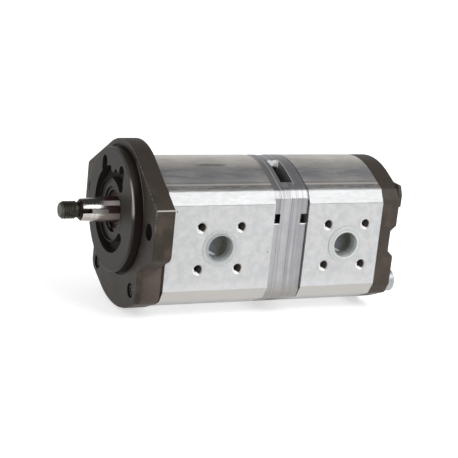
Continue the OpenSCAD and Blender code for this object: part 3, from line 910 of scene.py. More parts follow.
@dataclass(frozen=True)
class TaperSteel(TurnedSteel):
    """Ground taper with painted shade on the undercut face and in the keyway, painted reflection bands
    along its top and bottom, and painted reflections near the hub.
    """

    oiled: Colour = (0.25, 0.2, 0.16)
    # painted reflection colours: a dark band on top, a light band underneath and the bands near the hub
    top: Colour = (0.09, 0.085, 0.08)
    under: tuple[Colour, Colour] = ((0.42, 0.385, 0.36), (0.50, 0.46, 0.43))
    reflected_dark: Colour = (0.045, 0.022, 0.018)
    reflected_upper: Colour = (0.66, 0.62, 0.60)
    reflected_lower: Colour = (0.37, 0.32, 0.29)
    # painted shade in the keyway and on the small end's face
    slot: Colour = (0.022, 0.017, 0.014)
    taper_from: float = -28.5
    key_from: float = -21.3
    key_turn: float = 7.0
    key_half: float = 2.1
    key_floor: tuple[float, float] = (4.0, 4.6)
    key_mouth: tuple[float, float] = (7.15, 7.0)
    reflection_x: tuple[float, float] = (-18.0, -9.0)

    def nodes(self, sheet: NodeSheet) -> bpy.types.Material:
        """Fine rings, painted shade on the small end's face and in the keyway, painted reflection bands
        along the taper and near the hub.

        Args:
            sheet: the material's nodes.

        Returns:
            The finished material.
        """
        colour, rings, film = self.base(sheet)
        turn = math.radians(self.key_turn)
        across = sheet.z * math.cos(turn) + sheet.y * math.sin(turn)
        out = sheet.z * math.sin(turn) - sheet.y * math.cos(turn)
        # painted shade in the keyway and on the small end's face
        slot = abs(across).rise(self.key_half + 0.1, self.key_half) * out.rise(*self.key_floor)
        slot = slot * distance(sheet.y, sheet.z).rise(*self.key_mouth)
        slot = slot * sheet.x.rise(self.key_from + 0.6, self.key_from)
        collar = sheet.x.rise(self.taper_from + 1.75, self.taper_from + 1.6)
        shade = (slot + collar).least(1.0)
        # painted reflection near the hub: dark, with a light upper band and a lower band
        hub_reflection = sheet.x.rise(*self.reflection_x)
        upper = across.between(3.8, 6.1, 0.5)
        lower = across.rise(-1.2, -2.2) * across.rise(-7.4, -5.0)
        colour = sheet.coats(
            colour,
            # painted reflection bands along the top and the bottom
            (across.rise(4.0, 5.0) * 0.62, self.top),
            (across.rise(-2.0, -3.0), sheet.blend(rings.rise(0.3, 0.75), *self.under)),
            (hub_reflection, sheet.coats(self.reflected_dark, (lower, self.reflected_lower), (upper, self.reflected_upper))),
            (shade, self.slot),
        )
        return sheet.finish(
            {},
            base_color=colour,
            metallic=1 - hub_reflection * 0.85,
            roughness=self.roughness + rings * 0.05 + film * 0.06 + (shade + hub_reflection) * 0.25,
            normal=sheet.bump((rings, 0.004, 0.4)),
        )


@dataclass(frozen=True)
class CloudyMetal(Finish):
    """A metal with an even, slightly spotted surface, with a painted dark reflection from one place
    along X to another.
    """

    pale: Colour = (0.6, 0.6, 0.59)
    dull: Colour = (0.4, 0.4, 0.4)
    dark_reflection: Colour = (0.035, 0.018, 0.015)
    roughness: float = 0.35
    metallic: float = 1.0
    dark_reflection_span: tuple[float, float] | None = None

    def nodes(self, sheet: NodeSheet) -> bpy.types.Material:
        """Clouds, specks and a light grain.

        Args:
            sheet: the material's nodes.

        Returns:
            The finished material.
        """
        cloud = sheet.noise(0.25, 4, 0.6)
        speck = sheet.noise(0.7, 3, 0.6)
        colour = sheet.coats(
            self.dull, (cloud.rise(0.3, 0.7), self.pale), (speck.rise(0.62, 0.75) * 0.35, self.dull)
        )
        # painted dark reflection over a span along X
        if self.dark_reflection_span:
            colour = sheet.blend(sheet.x.rise(*self.dark_reflection_span), colour, self.dark_reflection)
        return sheet.finish(
            {"Metallic": self.metallic},
            base_color=colour,
            roughness=self.roughness + speck * 0.15,
            normal=sheet.bump((speck, 0.02, 0.3)),
        )


@dataclass(frozen=True)
class MouldedRubber(Finish):
    """Seal rubber."""

    colour: Colour = (0.02, 0.02, 0.021)
    dusty: Colour = (0.045, 0.043, 0.04)

    def nodes(self, sheet: NodeSheet) -> bpy.types.Material:
        """Dark and matt with a little dust.

        Args:
            sheet: the material's nodes.

        Returns:
            The finished material.
        """
        dust = sheet.noise(0.5, 4, 0.6)
        return sheet.finish(
            {"Metallic": 0.0},
            base_color=sheet.blend(dust.rise(0.4, 0.75), self.colour, self.dusty),
            roughness=0.5 + dust * 0.25,
            normal=sheet.bump((dust, 0.03, 0.3)),
        )


@dataclass(frozen=True)
class ClearPlastic(Finish):
    """See-through plastic of a transit plug, milky on the wall and the brim.

    The shares say how much each part of the plug hides what lies behind it.
    """

    port_x: float
    bore: float
    brim_share: float = 0.3
    wall_share: float = 0.46
    floor_share: float = 0.5
    milk: Colour = (0.66, 0.70, 0.70)
    pale: Colour = (0.78, 0.8, 0.8)
    brim: Colour = (0.76, 0.79, 0.785)
    floor: tuple[Colour, Colour] = ((0.20, 0.225, 0.30), (0.13, 0.13, 0.10))
    gleam: Colour = (0.75, 0.77, 0.78)
    floor_depth: tuple[float, float] = (6.5, 7.5)
    gleam_radii: tuple[float, float] = (5.4, 6.7)

    def nodes(self, sheet: NodeSheet) -> bpy.types.Material:
        """Thin film, clear on the floor, denser on the wall and at the brim's edge, with a painted
        highlight on the floor's lower side.

        Args:
            sheet: the material's nodes.

        Returns:
            The finished material.
        """
        cloud = sheet.noise(0.2, 3, 0.5)
        across = sheet.x - self.port_x
        up = sheet.z - BODY_Z
        radius = distance(across, up)
        depth = FACE_Y - abs(sheet.y)
        brim = depth.rise(0.02, -0.05)
        floor = depth.rise(*self.floor_depth)
        edge = radius.rise(self.bore + 1.9, self.bore + 2.7)
        over = brim * radius.between(self.bore - 1.35, self.bore - 0.1, 0.2)
        mouth = depth.rise(4.5, 0.3) * (1 - brim)
        # painted highlight: a gleam on the lower side of the floor
        low_side = (up * 0.88 + across * 0.47).rise(-4.9, -6.0)
        gleam = radius.between(*self.gleam_radii, 0.5) * low_side * floor
        alpha = self.wall_share + floor * (self.floor_share - self.wall_share)
        alpha = alpha + brim * (self.brim_share - self.wall_share) + edge * 0.08 + over * 0.2
        alpha = alpha + mouth * 0.32 + gleam * 0.25 + cloud * 0.08
        colour = sheet.coats(
            self.milk,
            (cloud.rise(0.3, 0.8) * 0.4, self.pale),
            (brim, self.brim),
            (floor, sheet.blend(across.rise(-5, 4), *self.floor)),
            (gleam * 0.8, self.gleam),
        )
        return sheet.finish(
            {"Metallic": 0.0, "IOR": 1.45, "Roughness": 0.12},
            base_color=colour,
            alpha=alpha,
            normal=sheet.bump((cloud, 0.05, 0.08)),
        )


FRONT_IRON = CoverIron("front_cast_iron")
REAR_IRON = CastIron(
    "rear_cast_iron", skin=(0.060, 0.0455, 0.035), dark=(0.04, 0.031, 0.024), rust=(0.09, 0.066, 0.05)
)
FRONT_PORTS = PortHoles(54.9)
REAR_PORTS = PortHoles(147.3)
FRONT_BODY = DrawnAluminium(
    "front_body_aluminium",
    FRONT_PORTS,
    dots=((22.4, 10.0, 0.8), (89.5, -18.6, 0.6)),
    scratches=((51.0, 63.0, -14.2),),
)
REAR_BODY = DrawnAluminium("rear_body_aluminium", REAR_PORTS)
PLATE = MilledAluminium("plate_aluminium")
SHAFT_STEEL = TaperSteel("shaft_steel", roughness=0.08)
GEAR_STEEL = TurnedSteel("gear_steel", roughness=0.26, line=1.2, oil=0.5)
THREAD_STEEL = CloudyMetal("thread_steel", (0.09, 0.085, 0.07), (0.04, 0.038, 0.033), roughness=0.4)
FRONT_THREAD = CutThread("front_cut_thread", FRONT_PORTS)
REAR_THREAD = CutThread("rear_cut_thread", REAR_PORTS)
# the key's end carries a painted dark reflection
KEY_STEEL = CloudyMetal(
    "key_steel", (0.24, 0.235, 0.24), (0.13, 0.125, 0.125), roughness=0.4, dark_reflection_span=(-19.0, -13.5)
)
CLAW_STEEL = CloudyMetal("claw_steel", (0.3, 0.29, 0.28), (0.17, 0.165, 0.16), roughness=0.38)
ZINC = CloudyMetal("zinc_plate", (0.44, 0.45, 0.45), (0.31, 0.32, 0.32), roughness=0.36, metallic=0.95)
RING_STEEL = CloudyMetal(
    "ring_steel", (0.022, 0.018, 0.015), (0.012, 0.010, 0.008), roughness=0.55, metallic=0.3
)
BLOCK_ALLOY = CloudyMetal("block_alloy", (0.5, 0.49, 0.45), (0.36, 0.35, 0.32), roughness=0.36)
BUSH_BRONZE = CloudyMetal("bush_bronze", (0.45, 0.3, 0.14), (0.3, 0.2, 0.1), roughness=0.36)
BLACK_RUBBER = MouldedRubber("black_rubber")
LIP_RUBBER = MouldedRubber("lip_rubber", colour=(0.022, 0.008, 0.006), dusty=(0.07, 0.022, 0.015))


# Modelling by operators


def only(obj: bpy.types.Object) -> None:
    """Makes one object the selected and active one.

    Args:
        obj: the object.
    """
    bpy.ops.object.select_all(action="DESELECT")
    obj.select_set(True)
    bpy.context.view_layer.objects.active = obj


@contextmanager
def editing(obj: bpy.types.Object) -> Iterator[None]:
    """Edit mode on one object, with nothing selected at first.

    Args:
        obj: the object.

    Returns:
        What the with block runs under.
    """
    only(obj)
    bpy.ops.object.mode_set(mode="EDIT")
    bpy.ops.mesh.select_mode(type="VERT")
    bpy.ops.mesh.select_all(action="DESELECT")
    yield
    bpy.ops.object.mode_set(mode="OBJECT")


def merge_all(reach: float) -> None:
    """Selects the whole mesh in edit mode and merges points closer than reach."""
    bpy.ops.mesh.select_all(action="SELECT")
    bpy.ops.mesh.remove_doubles(threshold=reach * MM)


def pick_edges(obj: bpy.types.Object, test: EdgeTest) -> int:
    """Selects outer edges in edit mode; inner corners are left sharp.

    Args:
        obj: the object in edit mode.
        test: is given an edge's middle in mm, its direction and the angle between its faces in degrees.

    Returns:
        How many edges are selected.
    """
    bpy.ops.mesh.select_mode(type="EDGE")
    mesh = bmesh.from_edit_mesh(obj.data)
    mesh.normal_update()
    found = 0
    for edge in mesh.edges:
        first, second = (v.co for v in edge.verts)
        angle = math.degrees(edge.calc_face_angle(0.0))
        middle = (first + second) / (2 * MM)
        outer = edge.is_convex and len(edge.link_faces) == 2
        chosen = outer and test(middle, (second - first).normalized(), angle)
        edge.select_set(chosen)
        found += chosen
    bmesh.update_edit_mesh(obj.data)
    return found


def round_edges(obj: bpy.types.Object, radius: float, steps: int, test: EdgeTest) -> None:
    """Rounds the edges that a test picks.

    Args:
        obj: the object.
        radius: width of the rounding in mm.
        steps: faces across it.
        test: see pick_edges.
    """
    with editing(obj):
        if pick_edges(obj, test):
            bpy.ops.mesh.bevel(offset=radius * MM, segments=steps, affect="EDGES", clamp_overlap=False)


def smooth(obj: bpy.types.Object, angle: float = 32.0) -> bpy.types.Object:
    """Smooth shading up to an angle, with large faces kept flat.

    Args:
        obj: the object.
        angle: degrees.

    Returns:
        The same object.
    """
    only(obj)
    bpy.ops.object.shade_smooth_by_angle(angle=math.radians(angle))
    modifier = obj.modifiers.new("flat_faces", "WEIGHTED_NORMAL")
    modifier.keep_sharp = True
    bpy.ops.object.modifier_apply(modifier=modifier.name)
    return obj


def node_copy(node: str, name: str) -> bpy.types.Object:
    """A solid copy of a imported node, its loose triangles merged into whole faces.

    Args:
        node: the node.
        name: the new piece's name.

    Returns:
        The new piece.
    """
    obj = bpy.data.objects.new(name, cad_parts[node].data.copy())
    bpy.context.scene.collection.objects.link(obj)
    obj.data.materials.clear()
    with editing(obj):
        bpy.ops.mesh.customdata_custom_splitnormals_clear()
        merge_all(0.002)
        bpy.ops.mesh.dissolve_limited(angle_limit=math.radians(0.6))
    return obj


def lathe(
    name: str, outline: Sequence[tuple[float, float]], axis: Axis, centre: Vector, steps: int = 72
) -> bpy.types.Object:
    """Turns an outline into a closed ring or bar.

    Args:
        name: the new piece's name.
        outline: points of the closed outline as (place along the axis, radius), in mm.
        axis: the axis it is turned about.
        centre: a point of the axis in mm; outline places are counted from it.
        steps: faces round the axis.

    Returns:
        The new piece.
    """
    along = Vector(axis.value)
    out = Vector((0, 0, 1))
    points = [(centre + along * a + out * r) * MM for a, r in outline]
    bpy.ops.object.select_all(action="DESELECT")
    bpy.ops.mesh.primitive_plane_add(size=MM, location=(0, 0, 0))
    obj = bpy.context.object
    obj.name = obj.data.name = name
    with editing(obj):
        bpy.ops.mesh.select_all(action="SELECT")
        bpy.ops.mesh.merge(type="CENTER")
        bpy.ops.transform.translate(value=points[0])
        for before, after in zip(points, points[1:] + points[:1]):
            bpy.ops.mesh.extrude_region_move(TRANSFORM_OT_translate={"value": after - before})
        merge_all(0.001)
        bpy.ops.mesh.spin(steps=steps, angle=math.tau, center=centre * MM, axis=along)
        merge_all(0.002)
        bpy.ops.mesh.normals_make_consistent(inside=False)
    return obj


def helix(
    name: str, start: float, turns: int, pitch: float, radius: float, depth: float, steps: int = 24
) -> bpy.types.Object:
    """A screw thread's ridge about the X axis of the row.

    Args:
        name: the new piece's name.
        start: where it begins along X, in mm.
        turns: whole turns.
        pitch: in mm.
        radius: radius on which the ridge is centred, in mm.
        depth: how far it stands out of that radius, in mm.
        steps: faces in a turn.

    Returns:
        The new piece.
    """
    centre = (start * MM, 0, radius * MM)
    half_width = pitch * 0.46
    bpy.ops.object.select_all(action="DESELECT")
    bpy.ops.mesh.primitive_circle_add(
        vertices=4, radius=depth * MM, location=centre, rotation=(math.pi / 2, 0, 0)
    )
    obj = bpy.context.object
    obj.name = obj.data.name = name
    bpy.ops.object.transform_apply(location=True, rotation=True, scale=True)
    with editing(obj):
        bpy.ops.mesh.select_all(action="SELECT")
        bpy.ops.transform.resize(value=(half_width / depth, 1, 1), center_override=centre)
    screw = obj.modifiers.new("turns", "SCREW")
    screw.axis = "X"
    screw.angle = math.tau
    screw.screw_offset = pitch * MM
    screw.iterations = turns
    screw.steps = screw.render_steps = steps
    only(obj)
    bpy.ops.object.modifier_apply(modifier=screw.name)
    with editing(obj):
        merge_all(0.002)
        bpy.ops.mesh.fill_holes(sides=4)
        bpy.ops.mesh.select_all(action="SELECT")
        bpy.ops.mesh.normals_make_consistent(inside=False)
    return obj


def joined(parts: Sequence[bpy.types.Object], name: str) -> bpy.types.Object:
    """Joins pieces into the first of them.

    Args:
        parts: the pieces.
        name: the joined piece's name.

    Returns:
        The joined piece.
    """
    only(parts[0])
    for part in parts:
        part.select_set(True)
    bpy.ops.object.join()
    parts[0].name = parts[0].data.name = name
    return parts[0]


def moved_copy(obj: bpy.types.Object, name: str, matrix: Matrix) -> bpy.types.Object:
    """A copy with its own mesh, its place worked into the mesh.

    Args:
        obj: the piece that is copied.
        name: the copy's name.
        matrix: where the copy goes, in metres.

    Returns:
        The copy.
    """
    copy = bpy.data.objects.new(name, obj.data.copy())
    bpy.context.scene.collection.objects.link(copy)
    copy.matrix_world = matrix
    only(copy)
    bpy.ops.object.transform_apply(location=True, rotation=True, scale=True)
    return copy


def dress(obj: bpy.types.Object, finish: Finish, slot: str, body: str, *nodes: str) -> None:
    """Gives a new piece its finish and the body it rides on.

    Args:
        obj: the piece.
        finish: its surface.
        slot: the record's material slot; not used.
        body: the body.
        nodes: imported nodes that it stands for.
    """
    obj.data.materials.clear()
    obj.data.materials.append(finish.material())
    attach(obj, body)
    if nodes:
        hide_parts(*nodes)
    LOG.info("%s: %d faces, %s", obj.name, len(obj.data.polygons), finish.name)


def coat(finish: Finish, *nodes: str) -> None:
    """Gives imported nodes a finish, leaving their meshes alone.

    Args:
        finish: the surface.
        nodes: the nodes.
    """
    for node in nodes:
        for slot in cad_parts[node].material_slots:
            slot.link = "OBJECT"
            slot.material = finish.material()
        LOG.info("%s: %s", node, finish.name)


def from_bolt(place: Vector) -> float:
    """Distance in mm of a place to the nearest tie bolt's axis."""
    return math.hypot(abs(place.y) - BOLT_Y, abs(place.z - BODY_Z) - BOLT_Z)


def sharp(angle: float, least: float = 24.0) -> bool:
    """Whether an angle between two faces is an edge to be rounded."""
    return angle > least


def long_edge(low: float, high: float, out: float) -> EdgeTest:
    """Picks edges along the body.

    Args:
        low: least height from the body's middle, up or down, in mm.
        high: greatest height.
        out: least distance from the middle plane, in mm.

    Returns:
        The test.
    """

    def test(middle: Vector, way: Vector, angle: float) -> bool:
        """Whether an edge runs along X at that height."""
        placed = low < abs(middle.z - BODY_Z) < high and abs(middle.y) > out
        return sharp(angle, 20) and abs(way.x) > 0.9 and placed

    return test


def end_edge(out: float, more: Callable[[Vector], bool]) -> EdgeTest:
    """Picks edges round an end face, away from the bolt holes.

    Args:
        out: least distance from the body's middle line, in mm.
        more: a further test of the edge's middle.

    Returns:
        The test.
    """

    def test(middle: Vector, way: Vector, angle: float) -> bool:
        """Whether an edge runs round an end face."""
        outer = math.hypot(middle.y, middle.z - BODY_Z) > out and from_bolt(middle) > 6.5
        return sharp(angle, 40) and abs(way.x) < 0.5 and outer and more(middle)

    return test


# Sub-assemblies


@dataclass
class FrontCover:
    """Cast cover with flange, pilot and lower lobe, and the shaft seal in its hub."""

    seal_front: float = -2.55
    seal_radius: float = 15.0
    lip_radius: float = 8.55
    skirt_x: float = 13.1
    pilot_x: float = -5.0
    rim_radius: float = 40.0
    cast_radius: float = 44.0
    hole_clear: float = 6.5
    bolt_clear: float = 6.0
    cast_round: float = 0.9
    rim_round: float = 0.35

    def build(self) -> None:
        """Makes the cover, the seal and its ring."""
        self.cover()
        self.seal()
        coat(RING_STEEL, "seal_retaining_ring")

    def cover(self) -> None:
        """Rounds the cast outline softly and the machined rims finely."""
        obj = node_copy("front_cover", "front_cover_cast")

        def cast(middle: Vector, way: Vector, angle: float) -> bool:
            """Picks the cast outline, clear of the holes.

            Args:
                middle: the edge's middle in mm.
                way: its direction; not used.
                angle: the angle between its faces in degrees.

            Returns:
                Whether the edge is rounded.
            """
            hole = math.hypot(abs(middle.y) - EAR_HOLE_Y, middle.z)
            bolt = math.hypot(abs(middle.y) - BOLT_Y, middle.z - LOW_BOLT_Z)
            clear = hole > self.hole_clear and bolt > self.bolt_clear
            outer = math.hypot(middle.y, middle.z) > self.cast_radius and clear
            return sharp(angle, 34) and -0.1 < middle.x < self.skirt_x and outer

        def rim(middle: Vector, way: Vector, angle: float) -> bool:
            """Whether an edge lies round the pilot's face."""
            outer = math.hypot(middle.y, middle.z) > self.rim_radius
            return sharp(angle) and middle.x < self.pilot_x and outer

        round_edges(obj, self.cast_round, 3, cast)
        round_edges(obj, self.rim_round, 2, rim)
        dress(smooth(obj), FRONT_IRON, "cast_iron_front", "housing", "front_cover")

    def seal(self) -> None:
        """Turns the lip seal: a case rim, a dished face and the lip on the shaft."""
        outline = [
            (0.3, self.seal_radius), (0.0, self.seal_radius - 0.4), (0.0, self.seal_radius - 1.5),
            (1.5, self.seal_radius - 2.4), (2.0, 11.0), (1.3, 9.6), (0.9, self.lip_radius),
            (2.6, self.lip_radius), (3.6, 10.4), (6.0, 10.8), (6.9, 12.0), (6.9, self.seal_radius),
        ]
        obj = lathe("lip_seal", outline, Axis.X, Vector((self.seal_front, 0, 0)))
        dress(smooth(obj), LIP_RUBBER, "seal_rubber", "housing", "shaft_seal")


@dataclass
class GearHousing:
    """One extruded housing with its threaded port holes and transit plugs."""

    node: str
    finish: DrawnAluminium
    thread: CutThread
    stage: str
    brims: tuple[float, float]
    thread_turns: int = 11
    thread_height: float = 0.6
    shoulder: tuple[float, float, float] = (36, 38.5, 36)
    shoulder_round: float = 2.4
    ledge: tuple[float, float, float] = (28, 29.5, 42)
    ledge_round: float = 0.5
    end_round: float = 0.15
    end_out: float = 40.0
    port_reach: float = 20.0

    @property
    def ports(self) -> PortHoles:
        """Where the holes are."""
        return self.finish.ports

    def build(self) -> None:
        """Makes the housing, its threads and its plugs."""
        self.housing()
        self.threads()
        bores = (self.ports.inlet_bore, self.ports.outlet_bore)
        for side, bore, brim in zip(Side, bores, self.brims):
            name = f"{self.stage}_{side.name.lower()}_plug"
            TransitPlug(name, side, self.ports.port_x, bore, brim).build()

    def housing(self) -> None:
        """Breaks the end edges a little and rounds the long ones where the drawn skin turns."""
        obj = node_copy(self.node, f"{self.node}_body")
        round_edges(obj, self.shoulder_round, 7, long_edge(*self.shoulder))
        round_edges(obj, self.ledge_round, 3, long_edge(*self.ledge))
        round_edges(obj, self.end_round, 2, end_edge(self.end_out, self.far_from_port))
        dress(smooth(obj, 25), self.finish, "extruded_aluminium", "housing", self.node)

    def far_from_port(self, middle: Vector) -> bool:
        """Whether an edge lies beyond the port along X."""
        return abs(middle.x - self.ports.port_x) > self.port_reach

    def threads(self) -> None:
        """Cuts the turns of a thread into each screw hole."""
        ports = self.ports
        hole = ports.hole
        high = self.thread_height
        pitch = self.thread.pitch
        ridge = helix(f"{self.stage}_thread_ridge", 1.0, self.thread_turns, pitch, hole, high, 20)
        outline = [(0.2, hole + 0.26), (1.05, hole - high), (1.4, hole - high), (1.4, hole + 0.02)]
        mouth = lathe(f"{self.stage}_thread_mouth", outline, Axis.X, Vector((0, 0, 0)), 32)
        turn = joined([ridge, mouth], f"{self.stage}_thread_model")
        parts = []
        for side, half in ((Side.INLET, ports.inlet_half), (Side.OUTLET, ports.outlet_half)):
            turned = Matrix.Rotation(-side.value * math.pi / 2, 4, "Z")
            for dx in (-half, half):
                for dz in (-half, half):
                    place = Vector((ports.port_x + dx, side.value * FACE_Y, BODY_Z + dz)) * MM
                    matrix = Matrix.Translation(place) @ turned
                    parts.append(moved_copy(turn, f"{self.stage}_thread", matrix))
        bpy.data.objects.remove(turn)
        threads = smooth(joined(parts, f"{self.stage}_port_threads"))
        dress(threads, self.thread, "extruded_aluminium", "housing")


@dataclass
class TransitPlug:
    """Milky cup pressed into a port, with a thin brim on the port face."""

    node: str
    side: Side
    port_x: float
    radius: float
    brim_share: float
    wall: float = 1.2
    depth: float = 9.0
    brim: float = 2.75

    def build(self) -> None:
        """Turns the cup with a rounded brim, two sealing beads and a slightly domed floor."""
        r = self.radius - 0.06
        inner = r - self.wall
        edge = r + self.brim
        deep = self.depth
        cup = [
            (-0.85, inner - 0.1), (-0.88, inner + 0.5), (-0.8, edge - 0.5), (-0.5, edge - 0.05),
            (-0.15, edge - 0.15), (-0.02, edge - 0.6), (-0.02, r + 0.05), (0.3, r - 0.25),
            (2.0, r - 0.2), (2.5, r), (3.0, r - 0.2), (5.0, r - 0.25), (5.5, r - 0.02), (6.0, r - 0.25),
            (deep - 0.6, r - 0.4), (deep, r - 1.1), (deep, 0.4), (deep - 1.0, 0.4),
            (deep - 1.05, inner - 2.2), (deep - 1.2, inner - 1.3), (deep - 1.6, inner - 0.65),
            (deep - 2.2, inner - 0.25), (deep - 3.0, inner - 0.1), (0.0, inner),
        ]
        nub = [(deep - 1.35, 0.02), (deep - 1.2, 0.4), (deep - 0.05, 0.45), (deep - 0.05, 0.02)]
        centre = Vector((self.port_x, self.side.value * FACE_Y, BODY_Z))
        parts = []
        for name, outline, steps in (("cup", cup, 96), ("nub", nub, 24)):
            turned = [(-self.side.value * a, out) for a, out in outline]
            parts.append(lathe(f"{self.node}_{name}", turned, Axis.Y, centre, steps))
        plastic = ClearPlastic(f"{self.node}_plastic", self.port_x, self.radius, self.brim_share)
        obj = smooth(joined(parts, f"{self.node}_cup"))
        dress(obj, plastic, "transit_plastic", self.node, self.node)


@dataclass
class MidSection:
    """Two milled plates between the stages, with the coupling chamber inside."""

    nodes: tuple[str, ...] = ("mid_section_front", "mid_section_rear")
    joint_x: float = 104.6
    plate: float = 12.4
    notch_z: tuple[float, float] = (-1.0, 7.6)
    shoulder: tuple[float, float, float] = (35, 40, 34)
    shoulder_round: float = 2.2
    end_out: float = 38.0
    end_round: float = 0.3

    def outer(self, middle: Vector) -> bool:
        """Whether an edge lies on an outer end face, clear of the side notches."""
        low, high = self.notch_z
        return abs(middle.x - self.joint_x) > self.plate and not low < middle.z < high

    def build(self) -> None:
        """Breaks the outer edges of both plates."""
        for node in self.nodes:
            obj = node_copy(node, f"{node}_plate")
            round_edges(obj, self.shoulder_round, 6, long_edge(*self.shoulder))
            round_edges(obj, self.end_round, 2, end_edge(self.end_out, self.outer))
            dress(smooth(obj, 25), PLATE, "milled_aluminium", "housing", node)
        coat(BLACK_RUBBER, "mid_shaft_seal_front", "mid_shaft_seal_rear")
        coat(CLAW_STEEL, "claw_driver")


@dataclass
class EndCover:
    """Cast end cover and the tie bolts that come in through it."""

    front_x: float = 173.5
    channel_x: float = 179.0
    channel_half: float = 30.0
    pad: float = 8.6
    head_x: float = 175.0
    cast_round: float = 0.8
    head_round: float = 0.35

    def build(self) -> None:
        """Rounds the cast edges and the bolt heads."""
        obj = node_copy("end_cover", "end_cover_cast")

        def cast(middle: Vector, way: Vector, angle: float) -> bool:
            """Whether an edge lies behind the joint, clear of the channel and the bolts' pads."""
            beside = middle.x > self.channel_x or abs(middle.y) > self.channel_half
            return sharp(angle) and middle.x > self.front_x and from_bolt(middle) > self.pad and beside

        def head(middle: Vector, way: Vector, angle: float) -> bool:
            """Whether an edge lies on a bolt's head."""
            return sharp(angle) and middle.x > self.head_x

        round_edges(obj, self.cast_round, 3, cast)
        dress(smooth(obj), REAR_IRON, "cast_iron_rear", "housing", "end_cover")
        for node in ("tie_bolts_lower", "tie_bolts_upper"):
            bolts = node_copy(node, f"{node}_plated")
            round_edges(bolts, self.head_round, 2, head)
            dress(smooth(bolts), ZINC, "zinc_plated_steel", "housing", node)


@dataclass
class DriveShaft:
    """Drive shaft with its threaded tip, keyed taper and front drive gear."""

    tip: float = -40.8
    thread_end: float = -29.5
    core: float = 5.15
    crest: float = 5.95
    pitch: float = 1.5
    thread_turns: int = 6
    seal_x: float = -12.0

    def build(self) -> None:
        """Cuts the plain tip off a copy of the shaft and puts a threaded one in its place."""
        body = node_copy("drive_shaft", "drive_shaft_body")
        with editing(body):
            bpy.ops.mesh.select_all(action="SELECT")
            cut = ((self.thread_end + 0.2) * MM, 0, 0)
            bpy.ops.mesh.bisect(plane_co=cut, plane_no=(1, 0, 0), clear_inner=True, use_fill=True)
            merge_all(0.02)

        def ahead(middle: Vector, way: Vector, angle: float) -> bool:
            """Whether an edge lies in front of the seal."""
            return sharp(angle, 40) and middle.x < self.seal_x

        round_edges(body, 0.2, 2, ahead)
        smooth(body)
        seat = self.thread_end + 0.3
        outline = [
            (self.tip, 0.3), (self.tip, 4.4), (self.tip + 0.8, self.core),
            (self.thread_end - 0.6, self.core), (self.thread_end + 0.1, self.core - 0.1),
            (seat, self.core - 0.2), (seat, 0.3),
        ]
        tip = smooth(lathe("shaft_tip", outline, Axis.X, Vector((0, 0, 0))))
        height = self.crest - self.core
        start = self.tip + 1.2
        ridge = smooth(helix("tip_ridge", start, self.thread_turns, self.pitch, self.core, height, 40))
        dress(joined([tip, ridge], "shaft_thread_tip"), THREAD_STEEL, "ground_steel", "drive_shaft")
        dress(body, SHAFT_STEEL, "ground_steel", "drive_shaft", "drive_shaft")
        key = node_copy("shaft_key", "shaft_key_drawn")
        round_edges(key, 0.25, 2, lambda middle, way, angle: sharp(angle))
        dress(smooth(key), KEY_STEEL, "key_steel", "drive_shaft", "shaft_key")


@dataclass
class GearTrain:
    """Gears and bearings inside, seen only when the pump is opened up."""

    gears: tuple[str, ...] = ("front_driven_gear", "rear_drive_gear", "rear_driven_gear")
    blocks: tuple[str, ...] = (
        "front_bearing_block_outer", "front_bearing_block_inner",
        "rear_bearing_block_inner", "rear_bearing_block_outer",
    )
    seals: tuple[str, ...] = (
        "front_axial_seals", "rear_axial_seals", "front_housing_seals", "rear_housing_seals"
    )

    def build(self) -> None:
        """Dresses the inner nodes."""
        coat(GEAR_STEEL, *self.gears)
        coat(BLOCK_ALLOY, *self.blocks)
        coat(BUSH_BRONZE, "front_bushings", "rear_bushings")
        coat(BLACK_RUBBER, *self.seals)
        coat(ZINC, "dowel_sleeves")


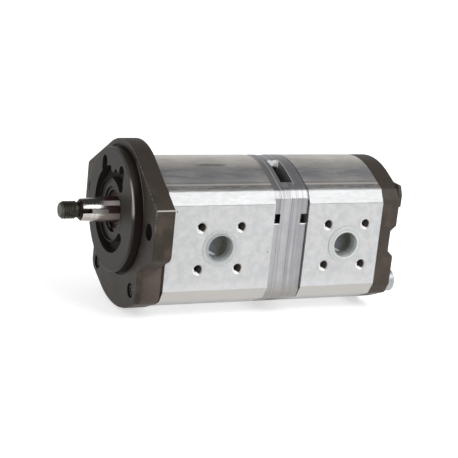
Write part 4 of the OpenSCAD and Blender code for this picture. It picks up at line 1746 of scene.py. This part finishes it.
@dataclass
class Studio:
    """Floor, soft lights, world and camera."""

    floor_z: float = -66.5
    target: tuple[float, float, float] = (75.0, 0.0, -15.0)
    camera_at: tuple[float, float, float] = (-362.53, -905.38, 263.26)
    right: tuple[float, float, float] = (0.90524, -0.41278, 0.10073)
    down: tuple[float, float, float] = (-0.02288, -0.28408, -0.95853)
    ahead: tuple[float, float, float] = (0.42428, 0.86540, -0.26660)
    focal_pixels: float = 1541.05
    sensor: float = 36.0
    floor_side: float = 30000.0

    def build(self) -> None:
        """Sets the scene up."""
        self.floor()
        self.world()
        self.lights()
        self.camera()
        bpy.context.scene.view_settings.view_transform = "Standard"

    @staticmethod
    def rays(sheet: NodeSheet) -> tuple[Value, Value, Value]:
        """Marks of camera, mirror and see-through rays."""
        names = ("Is Camera Ray", "Is Glossy Ray", "Is Transmission Ray")
        return tuple(sheet.add("ShaderNodeLightPath", output=name) for name in names)

    def floor(self) -> None:
        """Lays the pale floor."""
        bpy.ops.object.select_all(action="DESELECT")
        bpy.ops.mesh.primitive_plane_add(size=self.floor_side * MM, location=(0, 0, self.floor_z * MM))
        obj = bpy.context.object
        obj.name = "floor"
        bpy.ops.object.transform_apply(location=True)
        sheet = NodeSheet(bpy.data.materials.new("studio_floor"))
        seen, mirrored, through = self.rays(sheet)
        glow = seen.most(mirrored).most(through) * 0.58
        matt = sheet.add("ShaderNodeBsdfDiffuse", inputs={"Color": (0.86, 0.86, 0.86, 1)})
        light = sheet.add("ShaderNodeEmission", inputs={"Color": WHITE, "Strength": glow})
        both = sheet.add("ShaderNodeAddShader", inputs={0: matt, 1: light})
        sheet.add("ShaderNodeOutputMaterial", inputs={"Surface": both})
        obj.data.materials.append(sheet.owner)

    def world(self) -> None:
        """White to the camera, soft light to the object, a dim ceiling in reflections."""
        world = bpy.data.worlds.new("studio")
        bpy.context.scene.world = world
        sheet = NodeSheet(world, "Generated")
        ceiling = 1 - (sheet.z * MM).rise(0.3, 0.76) * 0.86
        mirror, white, soft = (
            sheet.add("ShaderNodeBackground", inputs={"Color": WHITE, "Strength": strength})
            for strength in (ceiling, 1.0, 0.5)
        )
        seen, mirrored, through = self.rays(sheet)
        lit = sheet.add("ShaderNodeMixShader", inputs={0: mirrored, 1: soft, 2: mirror})
        whole = sheet.add("ShaderNodeMixShader", inputs={0: seen.most(through), 1: lit, 2: white})
        sheet.add("ShaderNodeOutputWorld", inputs={"Surface": whole})

    def lamp(self, name: str, place: Sequence[float], size: tuple[float, float], watts: float) -> None:
        """Adds one soft box that looks at the pump.

        Args:
            name: the lamp's name.
            place: where it stands, in metres.
            size: its width and height, in metres.
            watts: its power.
        """
        light = bpy.data.lights.new(name, "AREA")
        light.shape = "RECTANGLE"
        light.size, light.size_y = size
        light.energy = watts
        obj = bpy.data.objects.new(name, light)
        bpy.context.scene.collection.objects.link(obj)
        obj.location = place
        way = Vector(self.target) * MM - Vector(place)
        obj.rotation_euler = way.to_track_quat("-Z", "Y").to_euler()

    def lights(self) -> None:
        """Key from the front and above with a dimmer strip over it, a weak fill from the left."""
        self.lamp("key_box", (0.62, -0.85, 0.86), (0.9, 0.62), 9.6)
        self.lamp("top_strip", (0.63, -0.43, 1.08), (0.9, 0.25), 1.4)
        self.lamp("left_box", (-1.1, -0.5, 0.5), (0.6, 0.9), 3.0)

    def camera(self) -> None:
        """Stands the camera where the photograph was taken from."""
        lens = bpy.data.cameras.new("photo_camera")
        lens.sensor_width = self.sensor
        lens.lens = self.sensor * self.focal_pixels / IMAGE_SIDE
        lens.clip_end = 100.0
        obj = bpy.data.objects.new("photo_camera", lens)
        bpy.context.scene.collection.objects.link(obj)
        turn = Matrix((self.right, [-v for v in self.down], [-v for v in self.ahead])).transposed()
        obj.matrix_world = Matrix.Translation(Vector(self.camera_at) * MM) @ turn.to_4x4()
        bpy.context.scene.camera = obj


def main() -> None:
    """Builds the pump and its studio in order."""
    logging.basicConfig(level=logging.INFO, format="%(name)s %(message)s")
    for part in (
        FrontCover(),
        GearHousing("front_housing", FRONT_BODY, FRONT_THREAD, "front", (0.16, 0.3)),
        MidSection(),
        GearHousing("rear_housing", REAR_BODY, REAR_THREAD, "rear", (0.46, 0.3)),
        EndCover(),
        DriveShaft(),
        GearTrain(),
        Studio(),
    ):
        LOG.info("building %s", type(part).__name__)
        part.build()


if __name__ == "__main__":
    main()
